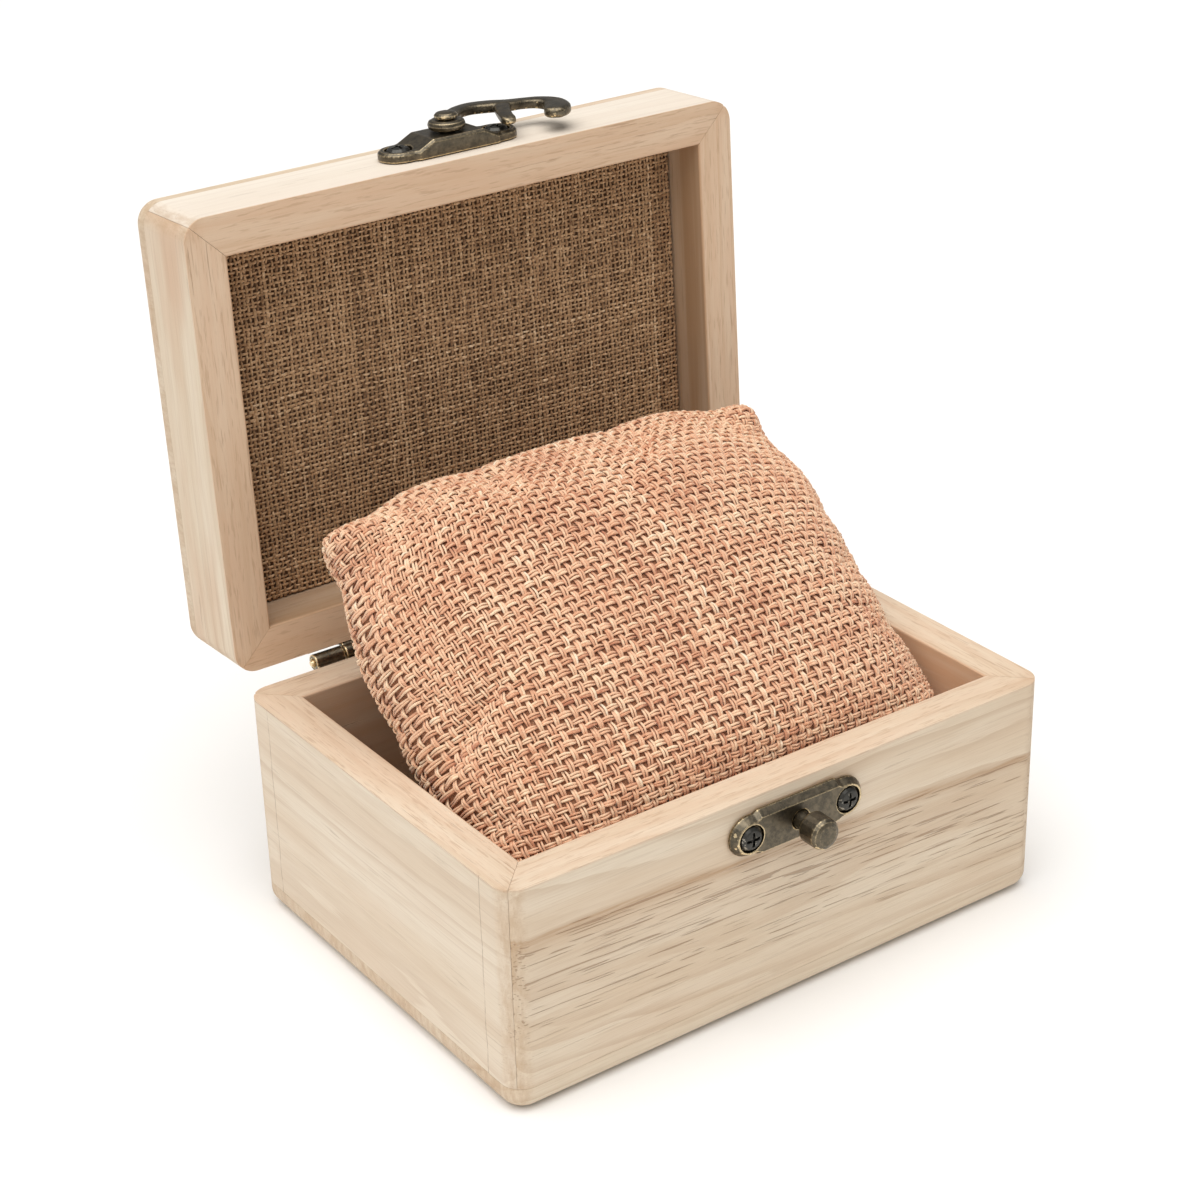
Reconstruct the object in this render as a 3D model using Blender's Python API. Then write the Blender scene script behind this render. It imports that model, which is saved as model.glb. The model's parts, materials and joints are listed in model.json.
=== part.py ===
"""Small hinged wooden watch box with a swing-hook latch and a loose cushion.

Metres, +Z up.  The origin is the centre of the face the box rests on, +X is to the
right and -Y is the front.  The lid stands open on its hinge stops, with the hook
swung out along the lid.  Lid pieces are laid out as if the lid were shut and hang
from an empty on the hinge pins; the hook hangs from an empty on its rivet.
"""

import math

import bmesh
import bpy
from mathutils import Matrix, Vector

MM = 0.001

# ---- driving dimensions ------------------------------------------------------
BOX_WIDTH = 110 * MM
BOX_DEPTH = 80 * MM
BASE_HEIGHT = 41 * MM
LID_HEIGHT = 19 * MM
WALL = 7.2 * MM
PANEL = 4.5 * MM  # bottom panel and lid panel
CORNER_RADIUS = 4.0 * MM  # upright corners
EDGE_RADIUS = 3.0 * MM  # long edges of the two panels
RIM_EASE = 0.3 * MM  # sanded edge of the sawn rims
SEAM = 0.2 * MM  # glue line between two boards
CLEARANCE = 0.3 * MM  # between pieces that rest on each other
RIM_GAP = 0.3 * MM  # between the two rims when the lid is shut

OPEN_ANGLE = math.radians(93)
HINGE_SETBACK = 2.0 * MM  # pin axis behind the back face
HINGE_SPREAD = 31.5 * MM  # hinge centre to the middle of the box
LEAF_LENGTH = 18.0 * MM
LEAF_DROP = 8.5 * MM
LEAF_THICKNESS = 0.8 * MM
BARREL_RADIUS = 1.5 * MM
HINGE_PIN_RADIUS = 0.7 * MM
KNUCKLE_GAP = 0.3 * MM
MIDDLE_KNUCKLE = 6.0 * MM

LATCH_PLATE_LENGTH = 27.0 * MM
LATCH_PLATE_WIDTH = 8.1 * MM
LATCH_END_RADIUS = 3.6 * MM
CATCH_PLATE_THICKNESS = 1.8 * MM
CATCH_PLATE_BEVEL = (0.85 * MM, 1.25 * MM)  # in from the outline, down from the face
HOOK_PLATE_THICKNESS = 1.6 * MM
HOOK_BOSS_HEIGHT = 3.0 * MM
LATCH_SCREW_SPACING = 9.9 * MM  # from the middle of the plate
HOOK_REACH = 14.2 * MM  # rivet to post, hook shut
POST_BELOW_RIM = 6.2 * MM
PIVOT_ABOVE_RIM = HOOK_REACH - POST_BELOW_RIM - RIM_GAP

LINING_RECESS = 9.0 * MM  # lid rim to the lining cloth
LINING_CLOTH = 0.8 * MM

CUSHION_HALF_WIDTH = 46.0 * MM
CUSHION_HALF_LENGTH = 42.5 * MM
CUSHION_HALF_THICKNESS = 19.5 * MM
CUSHION_CENTRE = Vector((0, -2.6 * MM, 43.5 * MM))
CUSHION_TILT = math.radians(41.5)
CUSHION_CLOTH = 1.2 * MM
CUSHION_SLUMP = 0.2  # share by which the filling gathers at the low end
PRESS_START = -27.0 * MM  # the front wall flattens the cushion from here on
PRESS_DEPTH = 5.4 * MM

SMOOTH_ANGLE = math.radians(40)


# ---- scene, materials and objects --------------------------------------------
def clear_scene():
    for obj in list(bpy.data.objects):
        bpy.data.objects.remove(obj, do_unlink=True)


def make_material(name, colour, roughness, metallic=0.0):
    mat = bpy.data.materials.new(name)
    mat.use_nodes = True
    shader = mat.node_tree.nodes["Principled BSDF"]
    shader.inputs["Base Color"].default_value = (*colour, 1.0)
    shader.inputs["Roughness"].default_value = roughness
    shader.inputs["Metallic"].default_value = metallic
    return mat


def make_materials():
    return {
        "wood": make_material("pale_wood", (0.78, 0.62, 0.44), 0.6),
        "brass": make_material("antique_brass", (0.16, 0.13, 0.08), 0.35, 1.0),
        "screw": make_material("dark_screw", (0.06, 0.06, 0.055), 0.4, 1.0),
        "lining": make_material("brown_burlap", (0.17, 0.11, 0.065), 0.95),
        "pad": make_material("lining_pad", (0.7, 0.66, 0.58), 0.95),
        "cushion": make_material("peach_burlap", (0.72, 0.42, 0.28), 0.95),
        "filling": make_material("white_filling", (0.88, 0.87, 0.84), 0.95),
    }


def add_object(name, mesh, mat, parent=None, location=(0, 0, 0), rotation=(0, 0, 0)):
    obj = bpy.data.objects.new(name, mesh)
    bpy.context.collection.objects.link(obj)
    if mat and not mesh.materials:
        mesh.materials.append(mat)
    obj.parent = parent
    obj.location = location
    obj.rotation_euler = rotation
    return obj


def add_axis(name, location, rotation=(0, 0, 0), parent=None):
    """Empty on a joint's axis, which carries the pieces that move with it."""
    empty = bpy.data.objects.new(name, None)
    bpy.context.collection.objects.link(empty)
    empty.empty_display_size = 5 * MM
    empty.parent = parent
    empty.location = location
    empty.rotation_euler = rotation
    return empty


def add_tool(name, mesh, beside, location=(0, 0, 0), rotation=(0, 0, 0)):
    """Cutter or added shape that sits in the same space as the object it changes."""
    tool = add_object(name, mesh, None, beside.parent, location, rotation)
    tool.hide_render = True
    tool.display_type = "WIRE"
    return tool


def boolean(obj, tool, operation="DIFFERENCE"):
    mod = obj.modifiers.new(tool.name, "BOOLEAN")
    mod.operation = operation
    mod.solver = "EXACT"
    mod.object = tool


# ---- mesh building -----------------------------------------------------------
def to_mesh(name, bm, smooth=False, orient=True):
    if orient:
        bmesh.ops.recalc_face_normals(bm, faces=bm.faces)
    mesh = bpy.data.meshes.new(name)
    bm.to_mesh(mesh)
    bm.free()
    if smooth:
        mesh.shade_smooth()
        mesh.set_sharp_from_angle(angle=SMOOTH_ANGLE)
    return mesh


def stack_rings(bm, rings):
    """Skin a list of closed rings of equal length, capped at both ends."""
    loops = [[bm.verts.new(point) for point in ring] for ring in rings]
    count = len(loops[0])
    for low, high in zip(loops, loops[1:]):
        for i in range(count):
            j = (i + 1) % count
            bm.faces.new((low[i], low[j], high[j], high[i]))
    bm.faces.new(loops[0])
    bm.faces.new(loops[-1])
    return loops


def prism(name, outline, low, high, smooth=False):
    """Outline in XY, extruded from low to high along Z."""
    bm = bmesh.new()
    stack_rings(bm, [[(x, y, z) for x, y in outline] for z in (low, high)])
    return to_mesh(name, bm, smooth)


def block(name, low, high):
    outline = [(low[0], low[1]), (high[0], low[1]), (high[0], high[1]), (low[0], high[1])]
    return prism(name, outline, low[2], high[2])


def turned(name, profile, segments=16):
    """Solid of revolution about Z; profile runs (radius, z) from axis to axis."""
    bm = bmesh.new()
    foot = bm.verts.new((0, 0, profile[0][1]))
    head = bm.verts.new((0, 0, profile[-1][1]))
    rings = []
    for radius, z in profile[1:-1]:
        ring = []
        for i in range(segments):
            turn = 2 * math.pi * i / segments
            ring.append(bm.verts.new((radius * math.cos(turn), radius * math.sin(turn), z)))
        rings.append(ring)
    for i in range(segments):
        j = (i + 1) % segments
        bm.faces.new((foot, rings[0][j], rings[0][i]))
        bm.faces.new((head, rings[-1][i], rings[-1][j]))
        for low, high in zip(rings, rings[1:]):
            bm.faces.new((low[i], low[j], high[j], high[i]))
    return to_mesh(name, bm, smooth=True)


def rod(name, radius, low, high, segments=16):
    return turned(name, [(0, low), (radius, low), (radius, high), (0, high)], segments)


def arc(centre, radius, start, end, steps):
    points = []
    for i in range(steps + 1):
        angle = math.radians(start + (end - start) * i / steps)
        points.append((centre[0] + radius * math.cos(angle), centre[1] + radius * math.sin(angle)))
    return points


# ---- wooden boards -----------------------------------------------------------
def mitred_board(name, length, low, high, rim_z):
    """Wall board along X with its outer face on y=0 and rounded, mitred ends.

    The two long edges of the sawn rim, at rim_z, are eased."""
    half = length / 2
    r = CORNER_RADIUS
    trim = math.degrees(math.asin(SEAM / 2 / r))
    inner_end = half - WALL - SEAM / math.sqrt(2)
    outline = [(-inner_end, WALL)]
    outline += arc((-half + r, r), r, 225 + trim, 270, 5)
    outline += arc((half - r, r), r, 270, 315 - trim, 5)
    outline.append((inner_end, WALL))
    bm = bmesh.new()
    loops = stack_rings(bm, [[(x, y, z) for x, y in outline] for z in (low, high)])
    rim = loops[0] if abs(rim_z - low) < abs(rim_z - high) else loops[1]
    pairs = list(zip(rim[1:-1], rim[2:-1])) + [(rim[-1], rim[0])]
    edges = [bm.edges.get(pair) for pair in pairs]
    bmesh.ops.bevel(bm, geom=edges, offset=RIM_EASE, segments=1, affect="EDGES")
    return to_mesh(name, bm)


def panel_board(name, low, high, round_low):
    """Panel over the whole width and depth; its outer long edges are rounded."""
    x = BOX_WIDTH / 2 - CORNER_RADIUS
    y = BOX_DEPTH / 2 - CORNER_RADIUS
    outer, inner, inward = (low, high, 1) if round_low else (high, low, -1)

    def ring(inset, z):
        points = []
        for centre, start in (((x, -y), 270), ((x, y), 0), ((-x, y), 90), ((-x, -y), 180)):
            points += arc(centre, CORNER_RADIUS - inset, start, start + 90, 6)
        return [(px, py, z) for px, py in points]

    rings = [ring(0, inner)]
    for across, down in arc((0, 0), EDGE_RADIUS, 0, 90, 5):
        rings.append(ring(EDGE_RADIUS - across, outer + inward * (EDGE_RADIUS - down)))
    bm = bmesh.new()
    stack_rings(bm, rings)
    return to_mesh(name, bm, smooth=True)


def add_walls(prefix, low, high, rim_z, mat, parent=None, origin=Vector()):
    """Front, right, back and left walls, mitred to each other at the corners."""
    walls = {}
    sides = (
        ("front", BOX_WIDTH, (0, -BOX_DEPTH / 2), 0),
        ("right", BOX_DEPTH, (BOX_WIDTH / 2, 0), 90),
        ("back", BOX_WIDTH, (0, BOX_DEPTH / 2), 180),
        ("left", BOX_DEPTH, (-BOX_WIDTH / 2, 0), 270),
    )
    for side, length, (x, y), turn in sides:
        name = f"{prefix}_{side}_wall"
        mesh = mitred_board(name, length, low, high, rim_z)
        place = Vector((x, y, 0)) - origin
        walls[side] = add_object(name, mesh, mat, parent, place, (0, 0, math.radians(turn)))
    return walls


# ---- screws ------------------------------------------------------------------
SCREW_SHANK_RADIUS = 0.75 * MM
SCREW_SHANK_LENGTH = 5.0 * MM


def screw_mesh(name, head_radius, head_height):
    """Pan-head wood screw with a cross recess; z=0 is under the head."""
    shank = SCREW_SHANK_RADIUS
    tip = -SCREW_SHANK_LENGTH
    profile = [
        (0, tip),
        (0.35 * shank, tip + 0.3 * MM),
        (shank, tip + 1.6 * MM),
        (shank, 0),
        (head_radius, 0),
        (head_radius, 0.35 * head_height),
        (0.8 * head_radius, 0.8 * head_height),
        (0.35 * head_radius, head_height),
        (0, head_height),
    ]
    body = add_object(name + "_form", turned(name, profile, 14), None)
    arm = 0.62 * head_radius
    slot = 0.13 * head_radius
    floor = 0.35 * head_height
    top = head_height + 1 * MM
    cutters = []
    for index, (x, y) in enumerate(((arm, slot), (slot, arm))):
        tool = add_tool(f"{name}_slot_{index}", block("slot", (-x, -y, floor), (x, y, top)), body)
        boolean(body, tool)
        cutters.append(tool)
    evaluated = body.evaluated_get(bpy.context.evaluated_depsgraph_get())
    mesh = bpy.data.meshes.new_from_object(evaluated)
    mesh.name = name
    for obj in [body, *cutters]:
        bpy.data.objects.remove(obj, do_unlink=True)
    return mesh


def drill(board, name, centre, outward, radius, depth):
    """Blind hole in a board, from its face inwards; outward is the face's normal."""
    turn = Vector((0, 0, 1)).rotation_difference(Vector(outward)).to_euler()
    tool = add_tool(name, rod("drill", radius, -depth, 2 * MM), board, centre, turn)
    boolean(board, tool)


def put_screw(name, mesh, mat, board, face_point, outward, seat):
    """Screw driven into a board, its head seated a distance off the board's face."""
    outward = Vector(outward)
    turn = Vector((0, 0, 1)).rotation_difference(outward).to_euler()
    location = Vector(face_point) + outward * seat
    add_object(name, mesh, mat, board.parent, location, turn)
    hole = SCREW_SHANK_RADIUS + CLEARANCE
    drill(board, name + "_hole", face_point, outward, hole, SCREW_SHANK_LENGTH)


# ---- latch -------------------------------------------------------------------
def half_width_at(x):
    """Half width of a latch plate: round ends, a small shoulder, a wider middle."""
    end_centre = LATCH_PLATE_LENGTH / 2 - LATCH_END_RADIUS
    shoulder = end_centre - 1.2 * MM
    x = abs(x)
    if x >= end_centre:
        return math.sqrt(max(0.0, LATCH_END_RADIUS**2 - (x - end_centre) ** 2))
    if x >= shoulder:
        return LATCH_END_RADIUS
    blend = min(1.0, (shoulder - x) / (0.8 * MM))
    return LATCH_END_RADIUS + blend * (LATCH_PLATE_WIDTH / 2 - LATCH_END_RADIUS)


def latch_plate(name, thickness, boss_height, bevel=(0.45 * MM, 0.45 * MM)):
    """Plate in XY with its back on z=0; the middle rises on two ramps to a boss."""
    bevel_in, bevel_down = bevel
    end_centre = LATCH_PLATE_LENGTH / 2 - LATCH_END_RADIUS
    ramp_foot = end_centre - 2.0 * MM
    ramp_top = 5.0 * MM
    half = [LATCH_END_RADIUS * math.cos(math.radians(a)) + end_centre for a in range(0, 91, 15)]
    half += [end_centre - 1.2 * MM, ramp_foot, ramp_top]
    stations = [-x for x in half] + half[::-1]

    def height(x):
        rise = (ramp_foot - abs(x)) / (ramp_foot - ramp_top)
        return thickness + (boss_height - thickness) * min(1.0, max(0.0, rise))

    def ring(inset, drop, flat=False):
        near, far = [], []
        for x in stations:
            share = 1 - inset / LATCH_END_RADIUS
            beyond = max(0.0, abs(x) - end_centre)
            px = math.copysign(abs(x) - beyond * (1 - share), x)
            py = half_width_at(x)
            py = py * share if beyond else py - inset
            z = 0.0 if flat else height(x) - drop
            near.append((px, max(py, 0.0), z))
            far.append((px, -max(py, 0.0), z))
        return near + far[-2:0:-1]

    bm = bmesh.new()
    rings = [ring(0, 0, flat=True), ring(0, bevel_down), ring(bevel_in, 0)]
    loops = [[bm.verts.new(point) for point in points] for points in rings]
    count = len(loops[0])
    for low, high in zip(loops, loops[1:]):
        for i in range(count):
            j = (i + 1) % count
            bm.faces.new((low[i], low[j], high[j], high[i]))
    last = len(stations) - 1
    for loop in (loops[0], loops[-1]):
        for i in range(last):
            corners = [loop[i], loop[i + 1], loop[(count - i - 1) % count], loop[(count - i) % count]]
            bm.faces.new(list(dict.fromkeys(corners)))
    return to_mesh(name, bm)


def screw_seat(name, plate, x, thickness):
    """Hole with a shallow round recess for a screw head in a latch plate."""
    profile = [
        (0, -1 * MM),
        (SCREW_SHANK_RADIUS + CLEARANCE, -1 * MM),
        (SCREW_SHANK_RADIUS + CLEARANCE, thickness - 0.7 * MM),
        (2.45 * MM, thickness - 0.7 * MM),
        (2.45 * MM, thickness + 1 * MM),
        (0, thickness + 1 * MM),
    ]
    turn = plate.rotation_euler
    place = plate.location + turn.to_matrix() @ Vector((x, 0, 0))
    boolean(plate, add_tool(name, turned(name, profile), plate, place, turn))


def smooth_path(points, steps):
    """Catmull-Rom curve through control points of any dimension."""
    padded = [points[0], *points, points[-1]]
    path = []
    for p0, p1, p2, p3 in zip(padded, padded[1:], padded[2:], padded[3:]):
        for i in range(steps):
            t = i / steps
            path.append(
                [
                    0.5 * (2 * b + (c - a) * t + (2 * a - 5 * b + 4 * c - d) * t**2
                           + (3 * b - a - 3 * c + d) * t**3)
                    for a, b, c, d in zip(p0, p1, p2, p3)
                ]
            )
    path.append(list(points[-1]))
    return path


def limb(name, controls, steps=3, sides=10):
    """Cast limb of oval section; each control is (x, y, z, half width, half height)."""
    path = smooth_path([[value * MM for value in control] for control in controls], steps)
    rings = []
    for i, (x, y, z, width, height) in enumerate(path):
        before = path[max(i - 1, 0)]
        after = path[min(i + 1, len(path) - 1)]
        along = Vector((after[0] - before[0], after[1] - before[1])).normalized()
        across = Vector((-along.y, along.x))
        caps = [(0.0, 1.0)]
        if i == 0:
            caps = [(-0.92, 0.38), (-0.7, 0.71), (0.0, 1.0)]
        if i == len(path) - 1:
            caps = [(0.0, 1.0), (0.7, 0.71), (0.92, 0.38)]
        for shift, share in caps:
            ring = []
            for k in range(sides):
                turn = 2 * math.pi * (k + 0.5) / sides
                side = width * share * math.cos(turn)
                px = x + along.x * shift * width + across.x * side
                py = y + along.y * shift * width + across.y * side
                ring.append((px, py, z + height * share * math.sin(turn)))
            rings.append(ring)
    bm = bmesh.new()
    stack_rings(bm, rings)
    return to_mesh(name, bm, smooth=True)


# The hook in its own plane: x towards its nose, y away from the lid's rim, z off the
# lid's face, in millimetres from the rivet.
HOOK_EYE_RADIUS = 3.3 * MM
HOOK_EYE_BORE = 1.5 * MM
HOOK_EYE_LOW = 3.2 * MM
HOOK_EYE_HIGH = 5.0 * MM
HOOK_ARM = [
    (1.6, 1.6, 4.1, 1.2, 0.8),
    (4.4, 4.8, 4.1, 1.15, 0.8),
    (8.2, 6.2, 4.0, 1.2, 0.8),
    (11.8, 5.4, 3.9, 1.3, 0.85),
    (14.8, 4.2, 3.8, 1.3, 0.85),
    (18.0, 3.6, 3.7, 1.15, 0.85),
    (21.0, 2.6, 3.5, 1.5, 0.9),
    (22.4, 0.2, 3.3, 1.9, 0.9),
    (21.4, -2.6, 3.2, 2.3, 0.9),
    (19.6, -4.4, 3.2, 2.0, 0.85),
    (18.6, -5.6, 3.2, 1.2, 0.8),
]
HOOK_FINGER = [
    (13.4, 4.4, 3.85, 1.1, 0.8),
    (11.6, 1.6, 3.6, 0.95, 0.75),
    (10.4, -1.0, 3.2, 0.95, 0.75),
    (9.8, -3.4, 3.1, 1.15, 0.75),
]


def add_latch(materials, base_front, lid_front, lid_axis, hinge_point):
    """Catch plate and post on the base, hook plate, rivet and hook on the lid."""
    brass = materials["brass"]
    face = -BOX_DEPTH / 2
    upright = (math.radians(90), 0, 0)  # a plate's Z turned to face the front
    seat_depth = 0.7 * MM
    screw = screw_mesh("latch_screw", 2.1 * MM, 1.0 * MM)

    catch_z = BASE_HEIGHT - POST_BELOW_RIM
    catch = latch_plate("catch_plate", CATCH_PLATE_THICKNESS, CATCH_PLATE_THICKNESS, CATCH_PLATE_BEVEL)
    catch = add_object("catch_plate", catch, brass, None, (0, face - SEAM, catch_z), upright)
    post_root = 1.6 * MM
    post_profile = [
        (0, 0.2 * MM), (post_root, 0.2 * MM), (post_root, 4.3 * MM), (2.5 * MM, 4.3 * MM),
        (2.75 * MM, 4.6 * MM), (2.75 * MM, 7.6 * MM), (2.4 * MM, 8.2 * MM), (1.7 * MM, 8.5 * MM),
        (0, 8.5 * MM),
    ]
    post = turned("catch_post", post_profile, 20)
    add_object("catch_post", post, brass, None, (0, face - SEAM, catch_z), upright)
    bore = rod("post_bore", post_root + 0.15 * MM, -1 * MM, 4 * MM, 20)
    boolean(catch, add_tool("post_bore", bore, catch, catch.location, upright))

    pivot_z = BASE_HEIGHT + RIM_GAP + PIVOT_ABOVE_RIM
    pivot = Vector((0, face - SEAM, pivot_z)) - hinge_point
    plate = latch_plate("hook_plate", HOOK_PLATE_THICKNESS, HOOK_BOSS_HEIGHT)
    plate = add_object("hook_plate", plate, brass, lid_axis, pivot, upright)
    rivet_root = 1.3 * MM
    rivet_profile = [
        (0, 0.4 * MM), (rivet_root, 0.4 * MM), (rivet_root, 5.2 * MM), (2.0 * MM, 5.2 * MM),
        (2.1 * MM, 5.7 * MM), (1.7 * MM, 6.1 * MM), (0.9 * MM, 6.3 * MM), (0, 6.3 * MM),
    ]
    rivet = turned("hook_rivet", rivet_profile, 20)
    add_object("hook_rivet", rivet, brass, lid_axis, pivot, upright)
    bore = rod("rivet_bore", rivet_root + 0.15 * MM, -1 * MM, 4 * MM, 20)
    boolean(plate, add_tool("rivet_bore", bore, plate, pivot, upright))

    rows = (
        ("catch", catch, base_front, catch_z, Vector(), CATCH_PLATE_THICKNESS),
        ("hook_plate", plate, lid_front, pivot_z, hinge_point, HOOK_PLATE_THICKNESS),
    )
    for prefix, target, board, z, origin, thickness in rows:
        for side, x in (("left", -LATCH_SCREW_SPACING), ("right", LATCH_SCREW_SPACING)):
            screw_seat(f"{prefix}_seat_{side}", target, x, thickness)
            point = Vector((x, face, z)) - origin
            seat = SEAM + thickness - seat_depth + 0.2 * MM
            name = f"{prefix}_screw_{side}"
            put_screw(name, screw, materials["screw"], board, point, (0, -1, 0), seat)

    hook_axis = add_axis("hook_axis", pivot, upright, lid_axis)
    eye_profile = [
        (0, HOOK_EYE_LOW),
        (HOOK_EYE_RADIUS - 0.5 * MM, HOOK_EYE_LOW),
        (HOOK_EYE_RADIUS, HOOK_EYE_LOW + 0.5 * MM),
        (HOOK_EYE_RADIUS, HOOK_EYE_HIGH - 0.6 * MM),
        (HOOK_EYE_RADIUS - 0.6 * MM, HOOK_EYE_HIGH),
        (0, HOOK_EYE_HIGH),
    ]
    hook = add_object("latch_hook", turned("latch_hook", eye_profile, 24), brass, hook_axis)
    for name, controls in (("hook_arm", HOOK_ARM), ("hook_finger", HOOK_FINGER)):
        boolean(hook, add_tool(name, limb(name, controls), hook), "UNION")
    boolean(hook, add_tool("hook_bore", rod("hook_bore", HOOK_EYE_BORE, 1 * MM, 7 * MM, 20), hook))


# ---- hinges ------------------------------------------------------------------
def hinge_leaf(name, mat, centre, lower, parent):
    """Leaf flat on a back face, its knuckles around the pin axis through centre."""
    reach = -1 if lower else 1
    half = LEAF_LENGTH / 2
    middle = MIDDLE_KNUCKLE / 2
    inner_face = -HINGE_SETBACK + SEAM
    clear = BARREL_RADIUS + KNUCKLE_GAP
    if lower:
        spans = [(-half, -middle - KNUCKLE_GAP), (middle + KNUCKLE_GAP, half)]
    else:
        spans = [(-middle, middle)]
    near, far = sorted((reach * clear, reach * LEAF_DROP))
    outer_face = inner_face + LEAF_THICKNESS
    leaf = block(name, (-half, inner_face, near), (half, outer_face, far))
    leaf = add_object(name, leaf, mat, parent, centre)
    sideways = (0, math.radians(90), 0)
    for index, (start, end) in enumerate(spans):
        near, far = sorted((reach * 0.2 * MM, reach * (clear + 0.5 * MM)))
        web = block("web", (start, inner_face + 0.02 * MM, near), (end, outer_face - 0.02 * MM, far))
        boolean(leaf, add_tool(f"{name}_web_{index}", web, leaf, centre), "UNION")
        knuckle = rod("knuckle", BARREL_RADIUS, start - 0.01 * MM, end + 0.01 * MM, 18)
        knuckle = add_tool(f"{name}_knuckle_{index}", knuckle, leaf, centre, sideways)
        boolean(leaf, knuckle, "UNION")
    if not lower:
        stop = block("stop", (-1.2 * MM, -0.7 * MM, -4.0 * MM), (1.2 * MM, 0.1 * MM, -1.0 * MM))
        stop.transform(Matrix.Rotation(OPEN_ANGLE, 4, "X"))
        boolean(leaf, add_tool(f"{name}_stop", stop, leaf, centre), "UNION")
    bore = rod("bore", HINGE_PIN_RADIUS + 0.1 * MM, -half - 1 * MM, half + 1 * MM, 14)
    boolean(leaf, add_tool(f"{name}_bore", bore, leaf, centre, sideways))
    return leaf


def add_hinges(materials, base_back, lid_back, lid_axis, hinge_point):
    screw = screw_mesh("hinge_screw", 1.5 * MM, 0.8 * MM)
    seat = SEAM + LEAF_THICKNESS + 0.05 * MM
    backward = (0, 1, 0)
    face_y = -HINGE_SETBACK
    pin_profile = [
        (0, -9.5 * MM), (0.5 * MM, -9.5 * MM), (HINGE_PIN_RADIUS, -9.2 * MM),
        (HINGE_PIN_RADIUS, 9.2 * MM), (0.5 * MM, 9.5 * MM), (0, 9.5 * MM),
    ]
    pin = turned("hinge_pin", pin_profile, 14)
    for side, x in (("left", -HINGE_SPREAD), ("right", HINGE_SPREAD)):
        hung = Vector((x, 0, 0))
        still = hung + hinge_point
        leaves = (
            ("lower", base_back, None, still, True),
            ("upper", lid_back, lid_axis, hung, False),
        )
        for kind, board, parent, centre, lower in leaves:
            name = f"hinge_{side}_{kind}_leaf"
            leaf = hinge_leaf(name, materials["brass"], centre, lower, parent)
            for index, dx in enumerate((-5.5 * MM, 5.5 * MM)):
                dz = -5.3 * MM if lower else 5.3 * MM
                point = centre + Vector((dx, face_y, dz))
                screw_name = f"hinge_{side}_{kind}_screw_{index + 1}"
                put_screw(screw_name, screw, materials["screw"], board, point, backward, seat)
                hole_radius = SCREW_SHANK_RADIUS + 0.2 * MM
                drill(leaf, screw_name + "_leaf_hole", point, backward, hole_radius, 1 * MM)
        name = f"hinge_{side}_pin"
        add_object(name, pin, materials["brass"], None, still, (0, math.radians(90), 0))


# ---- cushion and lining ------------------------------------------------------
def cushion_point(x, y, z):
    """From the cushion's own axes into the box, flattened by the front wall."""
    point = Matrix.Rotation(CUSHION_TILT, 3, "X") @ Vector((x, y, z)) + CUSHION_CENTRE
    beyond = PRESS_START - point.y
    if beyond > 0:
        point.y = PRESS_START - PRESS_DEPTH * (1 - math.exp(-beyond / PRESS_DEPTH))
    return point


def pillow(name, half_width, half_length, half_thickness, columns, rows):
    """Closed pillow: pulled-in sides, pointed corners, fullest at its low end."""
    bm = bmesh.new()
    us = [math.sin(math.pi / 2 * (2 * i / columns - 1)) for i in range(columns + 1)]
    vs = [math.sin(math.pi / 2 * (2 * j / rows - 1)) for j in range(rows + 1)]
    verts = {}
    for side in (1, -1):
        for i, u in enumerate(us):
            for j, v in enumerate(vs):
                border = i in (0, columns) or j in (0, rows)
                if border and side == -1:
                    verts[side, i, j] = verts[1, i, j]
                    continue
                x = half_width * u * (1 - 0.05 * (1 - v * v))
                y = half_length * v * (1 - 0.04 * (1 - u * u))
                fullness = ((1 - abs(u) ** 3.2) * (1 - abs(v) ** 2.6)) ** 0.6
                z = side * half_thickness * fullness * (1 - CUSHION_SLUMP * v)
                verts[side, i, j] = bm.verts.new(cushion_point(x, y, 0.0 if border else z))
    for side in (1, -1):
        for i in range(columns):
            for j in range(rows):
                corners = [verts[side, i + a, j + b] for a, b in ((0, 0), (1, 0), (1, 1), (0, 1))]
                bm.faces.new(corners[::side])
    return to_mesh(name, bm, smooth=True, orient=False)


def add_cushion(materials):
    """Cloth cover with its stuffing slit underneath, around a loose filling."""
    sizes = (CUSHION_HALF_WIDTH, CUSHION_HALF_LENGTH, CUSHION_HALF_THICKNESS)
    cover = pillow("cushion_cover", *sizes, 16, 12)
    cover = add_object("cushion_cover", cover, materials["cushion"])
    shrink = (3.0, 3.0, 1.0)
    hollow = [size - share * CUSHION_CLOTH for size, share in zip(sizes, shrink)]
    boolean(cover, add_tool("cover_hollow", pillow("cover_hollow", *hollow, 12, 10), cover))
    slit = block("stuffing_slit", (-20 * MM, 9 * MM, -24 * MM), (20 * MM, 11 * MM, -5 * MM))
    tilt = (CUSHION_TILT, 0, 0)
    boolean(cover, add_tool("stuffing_slit", slit, cover, CUSHION_CENTRE, tilt))
    core = [size - share * 0.5 * MM for size, share in zip(hollow, shrink)]
    filling = pillow("cushion_filling", *core, 12, 10)
    add_object("cushion_filling", filling, materials["filling"])


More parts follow.
